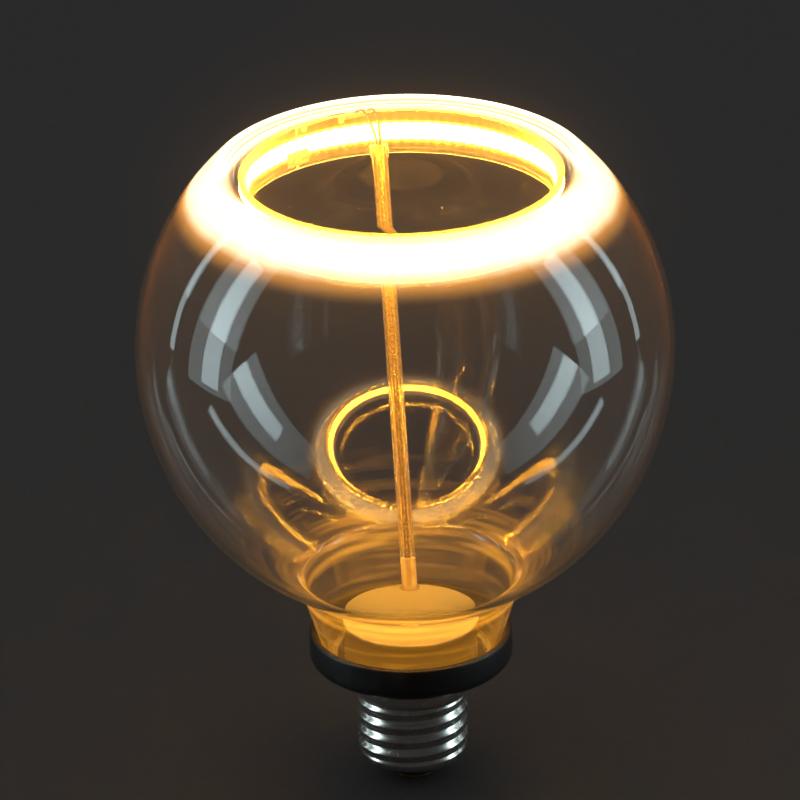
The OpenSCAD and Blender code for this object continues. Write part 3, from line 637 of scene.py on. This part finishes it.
HEAD = on_ring(HEAD_ANGLE, HEAD_R, HEAD_Z)
TUBE_AXIS = (HEAD - FOOT).normalized()
TUBE_SIDE = Vector((0, 0, 1)).cross(TUBE_AXIS).normalized()
TUBE_L = (HEAD - FOOT).length


def wire_start(side):
    """From the circuit board up through the tube. Side is 1 for the left wire, -1 for the right."""
    under, aside = CUP_TOP - 2 * WIRE_R, (WIRE_R + HAIR) * side
    board = [(-2 * side, BOARD_FACE + WIRE_R, CUP_TOP - 0.4 - 2 * BEND),
             (-2 * side, BOARD_FACE + WIRE_R, CUP_TOP - 0.4 - BEND),
             (-2 * side, BOARD_FACE + BEND, under),
             (-aside, FOOT.y - 3 * BEND, under), (-aside, FOOT.y - BEND, under)]
    bore = [FOOT + TUBE_AXIS * t + TUBE_SIDE * aside
            for t in (-BEND / 2, 1, 4, TUBE_L / 2, TUBE_L - 4, TUBE_L + 0.2)]
    return [Vector(p) for p in board] + bore


def over_the_edge(a, b, c, d, e):
    """From the tube's head over the band's upper edge, at angles counted from the head."""
    return [(HEAD_ANGLE + a, HEAD_R + GAP, HEAD_Z + 2 * BEND),
            (HEAD_ANGLE + b, HEAD_R + 0.8, BAND_TOP - BEND),
            (HEAD_ANGLE + c, BAND_INNER - GAP, OVER),
            (HEAD_ANGLE + d, BAND_INNER + 0.6, OVER + 0.1),
            (HEAD_ANGLE + e, OUT, OVER - 0.4)]


OVER, OUT, EYELET_OUT = BAND_TOP + WIRE_R + GAP, BAND_OUTER + 0.4, BAND_OUTER + 0.8
LEFT_EYELET, RIGHT_EYELET = (angle - 90 for angle in reversed(EYELET_ANGLES))
left_route = wire_start(1) + [on_ring(*p) for p in over_the_edge(1.4, 3.4, 4.9, 5.6, 6.3) + [
    (HEAD_ANGLE + 7.6, OUT, OVER - 1.0),
    (21.5, OUT + 0.1, OVER - 0.8), (29.0, OUT + 0.1, OVER - BEND),
    (LEFT_EYELET - 1.5, EYELET_OUT, EYELET_Z + GAP), (LEFT_EYELET, EYELET_OUT - 0.25, EYELET_Z)]]
right_route = wire_start(-1) + [on_ring(*p) for p in over_the_edge(-0.4, 0.2, 1.2, 1.9, 2.5) + [
    (HEAD_ANGLE + 3.6, OUT, OVER - 1.4), (HEAD_ANGLE + 5.6, OUT, EYELET_Z + 0.4),
    (19.1, OUT, EYELET_Z + 0.1), (RIGHT_EYELET - 1.2, EYELET_OUT, EYELET_Z),
    (RIGHT_EYELET, EYELET_OUT - 0.25, EYELET_Z)]]
print("tube", round(TUBE_L, 1), "mm long,", len(left_route), "points on the left wire")


# %% Lay the wires
def lay_wire(name, route, slot, node):
    """A round wire through the points, as a mesh."""
    curve = bpy.data.curves.new(name, "CURVE")
    curve.dimensions, curve.bevel_depth = "3D", WIRE_R
    curve.bevel_resolution, curve.resolution_u, curve.use_fill_caps = 3, 8, True
    line = curve.splines.new("BEZIER")
    line.bezier_points.add(len(route) - 1)
    for point, place in zip(line.bezier_points, route):
        point.co = place
        point.handle_left_type = point.handle_right_type = "AUTO"
    drawn = bpy.data.objects.new(name, curve)
    bpy.context.collection.objects.link(drawn)
    bm = bmesh.new()
    bm.from_mesh(evaluated_mesh(drawn))
    bpy.data.objects.remove(drawn)
    return hand_over(bm, name, slot, node, sharp=60)


wires = [lay_wire("left_wire", left_route, "red_wire", "ring_wire_left"),
         lay_wire("right_wire", right_route, "dark_wire", "ring_wire_right")]

# %% Dabs of solder on the eyelets
solder = Finish("solder")
grey = solder.cloud(0.6, 3.0)
FINISHES["solder"] = solder.surface(
    Base_Color=solder.ramp(grey, (0.3, (0.55, 0.55, 0.56)), (0.7, (0.78, 0.78, 0.79))),
    Metallic=1.0, Roughness=0.2 + grey * 0.22, Normal=solder.bump(grey, 0.02))
bm = one_per_eyelet([(0, 0.05), (0.42, 0.05), (0.42, 0.4), (0.3, 0.72), (0, 0.8)],
                    [(2, 0.12), (3, 0.12)], 16)
hand_over(bm, "solder_dabs", "solder", sharp=60)

# %% [markdown]
# ## The slanting tube
# The tube is clear acrylic with a bore for the wires. Light from the ring runs down inside its
# wall, which draws two bright lines along it in the photograph, with the dark wires between them.
# It is turned on the lathe upright, and then tilted to run from the cover to the ring. A short peg
# of frosted plastic holds its lower end.

# %% Clear acrylic of the tube
acrylic = Finish("clear_acrylic")
scratch = acrylic.cloud(0.8, 4.0, acrylic.stretch(1.0, 1.0, 0.12))
seeds_and_glints = acrylic.cloud(0.5, 2.0)
# The warm tint of the acrylic is partly painted light from the ring, and the speckled emission is
# painted glints of that light.
FINISHES["clear_tube"] = acrylic.surface(
    Base_Color=(1.0, 0.90, 0.66), Roughness=0.02 + scratch * 0.06, IOR=1.49,
    Transmission_Weight=0.9, Emission_Strength=0.5,
    Emission_Color=acrylic.ramp(seeds_and_glints, (0.45, (0.05, 0.015, 0.001)), (0.75, (0.9, 0.36, 0.05))),
    Normal=acrylic.bump(seeds_and_glints, 0.08))
frost = Finish("frosted_plastic")
mould = frost.cloud(1.5, 3.0)
# The emission is painted glow of the ring's light in the frosted plastic, and its warm tint is
# partly painted light too.
FINISHES["frosted_plastic"] = frost.surface(
    Base_Color=(1.0, 0.88, 0.62), Roughness=0.22 + mould * 0.2, IOR=1.49, Transmission_Weight=0.85,
    Emission_Color=frost.ramp(mould, (0.3, (0.35, 0.13, 0.01)), (0.7, (0.9, 0.36, 0.04))),
    Emission_Strength=0.45, Normal=frost.bump(mould, 0.03))
print("finishes so far:", len(FINISHES))

# %% Turn the tube and its peg
PEG_L, TUBE_R, BORE_R = 7.9, 1.8, 1.0
TUBE_STEPS, TUBE_BASE = 56, PEG_L + HAIR
LEAN = Vector((0, 0, 1)).rotation_difference(TUBE_AXIS).to_matrix()


def stand_on_foot(bm):
    """Tilts what was turned along Z to the tube's slant, and stands it on its foot."""
    bmesh.ops.rotate(bm, cent=(0, 0, 0), verts=bm.verts, matrix=LEAN)
    bmesh.ops.translate(bm, vec=FOOT, verts=bm.verts)


bm = bmesh.new()
corners = wire(bm, [(TUBE_R, TUBE_BASE), (TUBE_R, TUBE_L), (BORE_R, TUBE_L), (BORE_R, TUBE_BASE)],
               closed=True)
round_off(bm, [(corner, 0.3) for corner in corners])
rails = [e for e in bm.edges if e.calc_length() > TUBE_L / 2]
bmesh.ops.subdivide_edges(bm, edges=rails, cuts=30)
turn(bm, TUBE_STEPS)
stand_on_foot(bm)
tube = hand_over(bm, "acrylic_tube", "clear_tube", "support_tube")

# %% The peg, with a fillet at its foot
FOOT_RIM, UNDER = TUBE_R + 0.5, -0.3
bm = bmesh.new()
corners = wire(bm, [(BORE_R, UNDER), (FOOT_RIM, UNDER), (FOOT_RIM, 0.15), (TUBE_R, 0.9),
                    (TUBE_R, PEG_L), (BORE_R, PEG_L)], closed=True)
round_off(bm, [(corners[3], 0.6), (corners[4], 0.2), (corners[5], 0.2)])
turn(bm, 48)
stand_on_foot(bm)
bmesh.ops.bisect_plane(bm, geom=bm.verts[:] + bm.edges[:] + bm.faces[:], dist=1e-5,
                       plane_co=(0, 0, COVER_TOP - HAIR), plane_no=(0, 0, 1), clear_inner=True)
bmesh.ops.holes_fill(bm, edges=bm.edges, sides=0)
peg = hand_over(bm, "tube_foot_peg", "frosted_plastic", "tube_peg")
print("peg length", PEG_L, "mm")

# %% [markdown]
# ## The clear bond at the tube's head
# A drop of clear adhesive fills the space between the tube's head and the band. It is a short spun
# block with bevelled, subdivided sides, so that it looks poured, and the tube's shape is cut out of
# it with a Boolean, so that the two clear bodies don't run through one another.

# %% Pour the bond
gel = Finish("clear_adhesive")
bubbles_and_glow = gel.cloud(0.9, 2.0)
# The emission is painted glow of the ring's light, caught at the adhesive's bubbles.
FINISHES["clear_adhesive"] = gel.surface(
    Base_Color=(1.0, 0.9, 0.7), Roughness=0.08 + bubbles_and_glow * 0.1, IOR=1.47, Transmission_Weight=0.9,
    Emission_Color=gel.ramp(bubbles_and_glow, (0.4, (0.1, 0.03, 0.002)), (0.7, (0.8, 0.32, 0.05))),
    Emission_Strength=0.8, Normal=gel.bump(bubbles_and_glow, 0.1))
SADDLE_DEGREES, SADDLE_BASE = 7.2, BAND_BASE + GAP
SADDLE_TOP, INNER, OUTER = SADDLE_BASE + 2.6, HEAD_R - 1.5, BAND_INNER - CLOSE
bm = bmesh.new()
wire(bm, [(INNER, SADDLE_BASE), (OUTER, SADDLE_BASE), (OUTER, SADDLE_TOP), (INNER, SADDLE_TOP)],
     closed=True)
turn(bm, 6, SADDLE_DEGREES)
bmesh.ops.holes_fill(bm, edges=bm.edges, sides=0)
swing(bm, bm.verts, 90 + HEAD_ANGLE - SADDLE_DEGREES / 2)
sharp_edges = [e for e in bm.edges if e.is_manifold and e.calc_face_angle(0) > 0.8]
bevel_edges(bm, sharp_edges, 0.45, 4)
saddle = hand_over(bm, "head_bond", "clear_adhesive", "tube_saddle")

# %% Cut the tube's shape out of the bond
CUT_R, CUT_LOW, CUT_HIGH = TUBE_R + 0.03, TUBE_L - 12, TUBE_L + 6
bm = bmesh.new()
wire(bm, [(0, CUT_LOW), (CUT_R, CUT_LOW), (CUT_R, CUT_HIGH), (0, CUT_HIGH)])
turn(bm, TUBE_STEPS)
stand_on_foot(bm)
cutter = bpy.data.objects.new("cutter", finished_mesh(bm, "cutter"))
bpy.context.collection.objects.link(cutter)
cut = saddle.modifiers.new("tube", "BOOLEAN")
cut.operation, cut.solver, cut.object = "DIFFERENCE", "EXACT", cutter
shaped = evaluated_mesh(saddle)
saddle.modifiers.clear()
saddle.data = shaped
bpy.data.objects.remove(cutter)
print("the bond has", len(saddle.data.polygons), "faces")

# %% [markdown]
# ## The driver's cover and cup
# A round white cover closes the driver's cup in the neck. The ring lights it from above, so in the
# photograph it shines yellow. Its rim is rounded by the mould, which needs a finer edge than the
# CAD disc has. The cup under it keeps its CAD mesh.

# %% White cover
white = Finish("white_plastic")
skin = white.cloud(0.6, 3.0)
FINISHES["white_plastic"] = white.surface(
    Base_Color=white.ramp(skin, (0.3, (0.90, 0.87, 0.80)), (0.7, (0.95, 0.93, 0.87))),
    Roughness=0.3 + skin * 0.15, Normal=white.bump(skin, 0.015))
COVER_R = span("driver_cover", X)[1]
COVER_BASE = span("driver_cover", Z)[0]
bm = bmesh.new()
turned_outline(bm, [(0, COVER_BASE), (COVER_R, COVER_BASE), (COVER_R, COVER_TOP), (0, COVER_TOP)],
               [(1, 0.2), (2, 0.45)], 5, 144)
cover_disc = hand_over(bm, "driver_cover_disc", "white_plastic", "driver_cover")
paint_node("driver_housing", "white_plastic")

# %% [markdown]
# ## The collar
# The black collar holds the neck and draws in to the cap. It is a turned piece of satin plastic, so
# the lathe makes it, with a soft rim and a round bowl. Fine moulding grain breaks its highlight.

# %% Satin black plastic
satin = Finish("satin_black_plastic")
grain = satin.cloud(0.35, 3.0)
dust = satin.step(satin.cloud(9.0, 4.0), 0.55, 0.8)
FINISHES["collar_plastic"] = satin.surface(
    Base_Color=satin.mixed(dust, (0.012, 0.012, 0.013), (0.028, 0.027, 0.026)),
    Roughness=0.34 + grain * 0.14 + dust * 0.06, Normal=satin.bump(grain, 0.02))
COLLAR_R = span("neck_collar", X)[1]
COLLAR_LOW, RIM_Z = span("neck_collar", Z)
CAP_TOP = span("cap_shell", Z)[1]
CAP_R = span("cap_shell", X)[1]
FOOT_R, SPIGOT_R, SLEEVE_R, SEAT_Z = CAP_R + 0.9, CAP_R - 0.43, 11.5, MOUTH_Z - 1.5
BOWL_Z, BOWL_H, RIM_W, SEAT_R = 32.1, 4.5, 1.5, MOUTH_R - 0.16
bm = bmesh.new()
bowl = [bm.verts.new((COLLAR_R, 0, BOWL_Z))]
bmesh.ops.spin(bm, geom=bowl, cent=(FOOT_R, 0, BOWL_Z), axis=(0, 1, 0), angle=math.pi / 2, steps=18)
bmesh.ops.scale(bm, vec=(1, 1, BOWL_H / (COLLAR_R - FOOT_R)), verts=bm.verts,
                space=Matrix.Translation((0, 0, -BOWL_Z)))
ends = sorted((v for v in bm.verts if len(v.link_edges) < 2), key=lambda v: v.co.z)
rest = wire(bm, [
    (FOOT_R, CAP_TOP), (SPIGOT_R, CAP_TOP), (SPIGOT_R, COLLAR_LOW), (SLEEVE_R, COLLAR_LOW),
    (SLEEVE_R, SEAT_Z), (SEAT_R, SEAT_Z), (COLLAR_R - RIM_W, RIM_Z), (COLLAR_R, RIM_Z)])
bm.edges.new((ends[0], rest[0]))
bm.edges.new((rest[-1], ends[1]))
round_off(bm, [(rest[0], 0.25), (rest[-1], 0.55), (rest[-2], 0.4)], 4)
turn(bm, 160)
hand_over(bm, "black_collar", "collar_plastic", "neck_collar")

# %% [markdown]
# ## The screw cap
# The cap is thin nickel-plated sheet with a rolled round thread. The screw operator could wind one
# turn of the profile upwards, but then both ends of the thread stop dead. Here a plain sleeve is
# spun first, and each of its points then moves in or out along the thread's wave, which fades in
# and out as the rolling tool leaves it. Small dents in the skirt pin the sheet to the collar.

# %% Nickel plate
plate = Finish("nickel_plate")
brushed = plate.cloud(0.4, 4.0, plate.stretch(0.15, 0.15, 1.6))
stain = plate.cloud(6.0, 4.0)
scuff = plate.step(plate.cloud(2.2, 5.0, Distortion=1.2), 0.58, 0.7)
FINISHES["nickel_plate"] = plate.surface(
    Base_Color=plate.ramp(stain, (0.3, (0.58, 0.55, 0.5)), (0.55, (0.72, 0.70, 0.66)),
                          (0.8, (0.66, 0.62, 0.55))),
    Metallic=1.0, Roughness=0.16 + brushed * 0.14 + scuff * 0.16,
    Normal=plate.bump(brushed + scuff * 0.3, 0.012))
print("finishes so far:", len(FINISHES))

# %% Roll the thread
THREAD_D, PITCH, DEPTH, THREAD_L, SHEET = 26.2, 3.63, 0.9, 15.5, 0.3
SHELL_BASE, CURL = span("cap_shell", Z)[0], 1.6
THREAD_LOW = SHELL_BASE + CURL
THREAD_HIGH = THREAD_LOW + THREAD_L
MEAN_R, FADE, ROW_H = THREAD_D / 2 - DEPTH / 2, 0.4 * PITCH, 0.25
DENTS, DENT_Z, DENT_R, DENT_DEPTH = 6, CAP_TOP - 1.7, 0.55, 0.28


def ease(t):
    """Goes softly from 0 to 1 while t does."""
    t = min(max(t, 0), 1)
    return t * t * (3 - 2 * t)


def roll(v):
    """Moves a point of the plain sleeve to its place on the rolled cap."""
    r, z, angle = math.hypot(v.co.x, v.co.y), v.co.z, math.atan2(v.co.y, v.co.x)
    if r < MEAN_R - 1e-3:
        return
    wave = ease((z - THREAD_LOW) / FADE) * ease((THREAD_HIGH - z) / FADE) * DEPTH / 2
    flare = (CAP_R - MEAN_R) * ease((z - THREAD_HIGH + FADE / 2) / FADE)
    turned = angle * DENTS / math.tau
    aside = (turned - round(turned)) * math.tau / DENTS * CAP_R
    dent = DENT_DEPTH * math.exp(-(aside / DENT_R) ** 2 - ((z - DENT_Z) / DENT_R) ** 2)
    new = MEAN_R + flare + wave * math.cos(math.tau * z / PITCH - angle) - dent
    v.co.x, v.co.y = v.co.x * new / r, v.co.y * new / r


bm = bmesh.new()
rows = round((CAP_TOP - THREAD_LOW) / ROW_H)
bottom = bm.verts.new((MEAN_R - CURL, 0, SHELL_BASE))
curl = bmesh.ops.spin(bm, geom=[bottom], cent=(MEAN_R - CURL, 0, THREAD_LOW), axis=(0, -1, 0),
                      angle=math.pi / 2, steps=8)["geom_last"][0]
top = bm.verts.new((MEAN_R, 0, CAP_TOP))
side = bm.edges.new((curl, top))
bmesh.ops.subdivide_edges(bm, edges=[side], cuts=rows)
turn(bm, 144)
for v in bm.verts:
    roll(v)
shell = hand_over(bm, "threaded_cap", "nickel_plate", "cap_shell", sharp=60)
wall = shell.modifiers.new("sheet", "SOLIDIFY")
wall.thickness, wall.offset = SHEET / 1000, -1.0

# %% [markdown]
# ## The cap's foot
# Black insulator fills the cap's lower end, and a brass contact with a flat tip of solder is
# pressed into it. All three are turned pieces with small roundings.

# %% Insulator, brass and tip
vitrite = Finish("black_insulator")
swirl = vitrite.cloud(3.0, 4.0, Distortion=1.5)
FINISHES["black_insulator"] = vitrite.surface(
    Base_Color=vitrite.ramp(swirl, (0.35, (0.006, 0.006, 0.008)), (0.7, (0.02, 0.02, 0.024))),
    Roughness=0.12 + swirl * 0.15, Coat_Weight=0.3, Coat_Roughness=0.05,
    Normal=vitrite.bump(swirl, 0.04))
brass = Finish("contact_brass")
profile = brass.node("ShaderNodeCombineXYZ", {}, [brass.outwards(), 0.0, brass.along(Z)])
rings = brass.cloud(0.15, 2.0, profile)
tarnish = brass.cloud(1.4, 4.0)
FINISHES["contact_brass"] = brass.surface(
    Base_Color=brass.ramp(tarnish, (0.3, (0.45, 0.27, 0.10)), (0.7, (0.70, 0.50, 0.22))),
    Metallic=1.0, Roughness=0.2 + rings * 0.2 + tarnish * 0.1, Normal=brass.bump(rings, 0.01))
print("finishes so far:", len(FINISHES))


# %% Turn the cap's foot
def turned_piece(name, slot, node, points, roundings, steps=96):
    """A whole turned piece of the cap from its outline."""
    bm = bmesh.new()
    turned_outline(bm, points, roundings, 4, steps)
    hand_over(bm, name, slot, node)


INSULATOR_TOP, INSULATOR_BORE, NOSE_R = THREAD_LOW - SHEET, 1.2, 5.7
PLUG_R, EDGE_R = MEAN_R - CURL - SHEET - HAIR, MEAN_R - CURL
CONTACT_BASE, CONTACT_TOP, CONTACT_R = 0.5, 1.5, 4.75
SPOUT_TOP, SPOUT_R, SPOUT_BORE = 2.5, 1.15, 0.45
turned_piece("insulator_plug", "black_insulator", "cap_insulator", [
    (INSULATOR_BORE, INSULATOR_TOP), (PLUG_R, INSULATOR_TOP), (PLUG_R, SHELL_BASE),
    (EDGE_R, SHELL_BASE - HAIR), (EDGE_R - 0.4, SHELL_BASE - 0.4), (NOSE_R, CONTACT_TOP + 0.3),
    (NOSE_R - 0.4, CONTACT_TOP), (INSULATOR_BORE, CONTACT_TOP)], [(4, 0.3), (5, 0.25), (6, 0.2)])
turned_piece("brass_contact", "contact_brass", "centre_contact", [
    (SPOUT_BORE, CONTACT_BASE), (CONTACT_R, CONTACT_BASE), (CONTACT_R, CONTACT_TOP),
    (SPOUT_R, CONTACT_TOP), (SPOUT_R, SPOUT_TOP), (SPOUT_BORE, SPOUT_TOP)],
    [(1, 0.35), (2, 0.15)], 72)
turned_piece("solder_tip", "solder", "contact_solder", [
    (0, CONTACT_BASE), (3.2, CONTACT_BASE), (2.9, 0.12), (2.2, 0), (0, 0)],
    [(1, 0.1), (2, 0.2), (3, 0.2)], 64)

# %% [markdown]
# ## The driver and the seal
# These pieces sit inside the neck and the cap, where little of them shows. They still exist, and a
# reader who takes the bulb apart should find each of them finished. Their CAD meshes are right, so
# every one of them gets a procedural finish only.

# %% Board, capacitors and chips
board = Finish("board_laminate")
across, up = board.maths("SINE", board.along(X) * 9.0), board.maths("SINE", board.along(Z) * 9.0)
weave = across * up * 0.5 + 0.5
track = board.step(board.cloud(2.4, 0.0, board.stretch(1.0, 1.0, 0.5)), 0.49, 0.51)
FINISHES["board_laminate"] = board.surface(
    Base_Color=board.mixed(track, (0.02, 0.10, 0.035), (0.05, 0.20, 0.07)),
    Roughness=0.3 + weave * 0.1, Coat_Weight=0.4, Coat_Roughness=0.15,
    Normal=board.bump(track + weave * 0.2, 0.03))
sleeve = Finish("capacitor_sleeve")
crease = sleeve.cloud(2.5, 3.0, sleeve.stretch(1.0, 1.0, 0.2))
FINISHES["capacitor_sleeve"] = sleeve.surface(
    Base_Color=sleeve.ramp(crease, (0.4, (0.012, 0.014, 0.03)), (0.6, (0.03, 0.035, 0.06))),
    Roughness=0.3 + crease * 0.12, Coat_Weight=0.3, Normal=sleeve.bump(crease, 0.04))
ferrite = Finish("ferrite")
grit = ferrite.cloud(0.3, 5.0)
FINISHES["ferrite"] = ferrite.surface(
    Base_Color=ferrite.ramp(grit, (0.35, (0.025, 0.024, 0.026)), (0.7, (0.08, 0.078, 0.08))),
    Roughness=0.5 + grit * 0.25, Normal=ferrite.bump(grit, 0.03))
winding = Finish("enamelled_winding")
turns = winding.maths("SINE", winding.along(Z) * (math.tau / 0.35)) * 0.5 + 0.5
# The colour goes dark between the turns: painted shade in the grooves between the wires.
FINISHES["winding_wire"] = winding.surface(
    Base_Color=winding.ramp(turns, (0.1, (0.12, 0.03, 0.008)), (0.8, (0.62, 0.22, 0.06))),
    Roughness=0.22, Metallic=0.6, Coat_Weight=0.5, Normal=winding.bump(turns, 0.08))
print("finishes so far:", len(FINISHES))

# %% Moulded bodies and dipped coats
# Slot: name, dark and pale colour, roughness, size of the mottle and its height
MOULDED = {
    "black_epoxy": ("black_epoxy", (0.008, 0.008, 0.009), (0.03, 0.03, 0.032), 0.5, 0.25, 0.02),
    "capacitor_coat": ("film_capacitor_coat", (0.30, 0.05, 0.012), (0.52, 0.12, 0.03),
                       0.28, 1.6, 0.06),
    "varistor_coat": ("varistor_coat", (0.02, 0.09, 0.30), (0.05, 0.17, 0.45), 0.3, 1.2, 0.05),
    "resistor_coat": ("fuse_resistor_coat", (0.10, 0.22, 0.26), (0.20, 0.36, 0.40),
                      0.35, 0.9, 0.05),
    "chip_ceramic": ("chip_ceramic", (0.015, 0.015, 0.018), (0.05, 0.05, 0.055), 0.4, 0.4, 0.02),
    "silicone": ("seal_silicone", (0.62, 0.60, 0.56), (0.78, 0.77, 0.74), 0.5, 1.1, 0.03),
}
for slot, (name, dark, pale, rough, size, height) in MOULDED.items():
    coat = Finish(name)
    mottle = coat.cloud(size, 4.0)
    FINISHES[slot] = coat.surface(
        Base_Color=coat.ramp(mottle, (0.3, dark), (0.72, pale)), Roughness=rough + mottle * 0.15,
        Normal=coat.bump(mottle, height))
leads = Finish("tinned_wire")
drawn = leads.cloud(0.2, 3.0, leads.stretch(1.0, 1.0, 0.2))
FINISHES["tinned_wire"] = leads.surface(
    Base_Color=leads.ramp(drawn, (0.3, (0.6, 0.58, 0.54)), (0.75, (0.8, 0.79, 0.76))), Metallic=1.0,
    Roughness=0.25 + drawn * 0.2, Normal=leads.bump(drawn, 0.01))
print("finishes so far:", len(FINISHES))

# %% Hand out the finishes
for node, slot in {"circuit_board": "board_laminate", "storage_capacitor": "capacitor_sleeve",
                   "inductor_core": "ferrite", "inductor_winding": "winding_wire",
                   "bridge_rectifier": "black_epoxy", "driver_chips": "black_epoxy",
                   "film_capacitor": "capacitor_coat", "surge_varistor": "varistor_coat",
                   "fuse_resistor": "resistor_coat", "chip_resistors": "chip_ceramic",
                   "contact_wire": "tinned_wire", "shell_wire": "tinned_wire",
                   "neck_seal": "silicone"}.items():
    paint_node(node, slot)
print("finishes in all:", len(FINISHES))

# %% [markdown]
# ## The studio
# The bulb is its own main light. Tall soft boxes, left and right of it, draw the long highlights on
# the glass: a broad one with a brighter core on each side, and a narrow one behind it. They are
# hidden from the camera's own view, so that they show only as reflections. Light linking keeps
# them off the floor and off the amber pieces, and keeps the ring's strong light off the floor. So
# the plain pale floor stays calm and even behind a very bright ring.

# %% Floor
paper = Finish("studio_paper")
fibre = paper.cloud(2.0, 5.0)
bpy.ops.mesh.primitive_plane_add(size=12)
floor = bpy.context.object
floor.name = "studio_floor"
floor.data.materials.append(paper.surface(
    Base_Color=paper.ramp(fibre, (0.3, (0.60, 0.60, 0.60)), (0.7, (0.63, 0.63, 0.63))),
    Roughness=0.85, Normal=paper.bump(fibre, 0.03)))
print("the floor is", floor.dimensions.x, "m wide")


# %% Lights and world
def without(name, pieces):
    """A receiver list for lights that leaves these pieces out."""
    unlit = bpy.data.collections.new(name)
    for i, piece in enumerate(pieces):
        unlit.objects.link(piece)
        unlit.collection_objects[i].light_linking.link_state = "EXCLUDE"
    return unlit


def soft_box(name, azimuth, distance, low, high, width, glow):
    """A tall box of light. Glow is in watts per square metre, and azimuth 0 is at the camera.
    Below SPLIT it doesn't show through glass, or a view from the side would look into it."""
    a = math.radians(azimuth)
    for part, base, top in (("low", low, SPLIT), ("high", SPLIT, high)):
        panel = bpy.data.lights.new(f"{name}_{part}", "AREA")
        panel.shape, panel.size, panel.size_y = "RECTANGLE", width, top - base
        panel.energy, panel.spread = glow * width * (top - base), math.radians(120)
        panel.color = COOL_WHITE
        lamp = bpy.data.objects.new(panel.name, panel)
        lamp.location = (math.sin(a) * distance, -math.cos(a) * distance, (base + top) / 2)
        inwards = Vector((-lamp.location.x, -lamp.location.y, 0))
        lamp.rotation_euler = inwards.to_track_quat("-Z", "Y").to_euler()
        lamp.visible_camera, lamp.visible_transmission = False, part == "high"
        lamp.light_linking.receiver_collection = not_by_boxes
        bpy.context.collection.objects.link(lamp)


SPLIT, COOL_WHITE, ROOM_GREY = 0.17, (0.74, 0.95, 1.0), (0.036, 0.036, 0.0365, 1)
# Azimuth in degrees, then distance, lower end, upper end and width in metres, then the glow
BOXES = {"box": (86, 0.56, 0.0, 0.82, 0.24, 2.0), "core": (85, 0.55, 0.02, 0.49, 0.09, 6.0),
         "edge": (111, 0.60, 0.02, 0.68, 0.036, 4.0)}
not_by_boxes = without("not_lit_by_the_boxes", (
    floor, silicone, tube, saddle, peg, cover_disc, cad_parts["driver_housing"], *wires))
for side, sign in (("left", -1), ("right", 1)):
    for name, (azimuth, *sizes_and_glow) in BOXES.items():
        soft_box(f"{side}_{name}", azimuth * sign, *sizes_and_glow)
world = bpy.data.worlds.new("studio")
world.use_nodes = True
world.node_tree.nodes["Background"].inputs["Color"].default_value = ROOM_GREY
bpy.context.scene.world = world

# %% [markdown]
# ## The picture
# Caustics are off, so a clear piece would cast a solid shadow, and these pieces cast none. The tube
# and the wires are left out of reflections, where they would smear. A weak bloom stands for the
# lens, which scatters a little of the ring's light.

# %% Picture settings
scene = bpy.context.scene
for piece in (globe, silicone, tube, saddle):
    piece.visible_shadow = False
for piece in (tube, saddle, *wires):
    piece.visible_glossy = False
not_by_ring = without("not_lit_by_the_ring", (floor,))
for lit in (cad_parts["led_circuit"], phosphors, globe):
    lit.light_linking.receiver_collection = not_by_ring
scene.view_settings.view_transform = "Standard"
scene.cycles.caustics_reflective = scene.cycles.caustics_refractive = False
scene.cycles.transmission_bounces = scene.cycles.max_bounces = 16
scene.cycles.glossy_bounces = 8
scene.cycles.sample_clamp_indirect = 0
scene.use_nodes = True
tree = scene.node_tree
glare = tree.nodes.new("CompositorNodeGlare")
glare.glare_type, glare.quality = "BLOOM", "HIGH"
for name, value in (("Threshold", 1.0), ("Strength", 0.025), ("Size", 0.2), ("Maximum", 30.0)):
    glare.inputs[name].default_value = value
glare.inputs["Clamp"].default_value = True
layers, composite = tree.nodes["Render Layers"], tree.nodes["Composite"]
tree.links.new(layers.outputs["Image"], glare.inputs["Image"])
tree.links.new(glare.outputs["Image"], composite.inputs["Image"])
print("view transform:", scene.view_settings.view_transform)
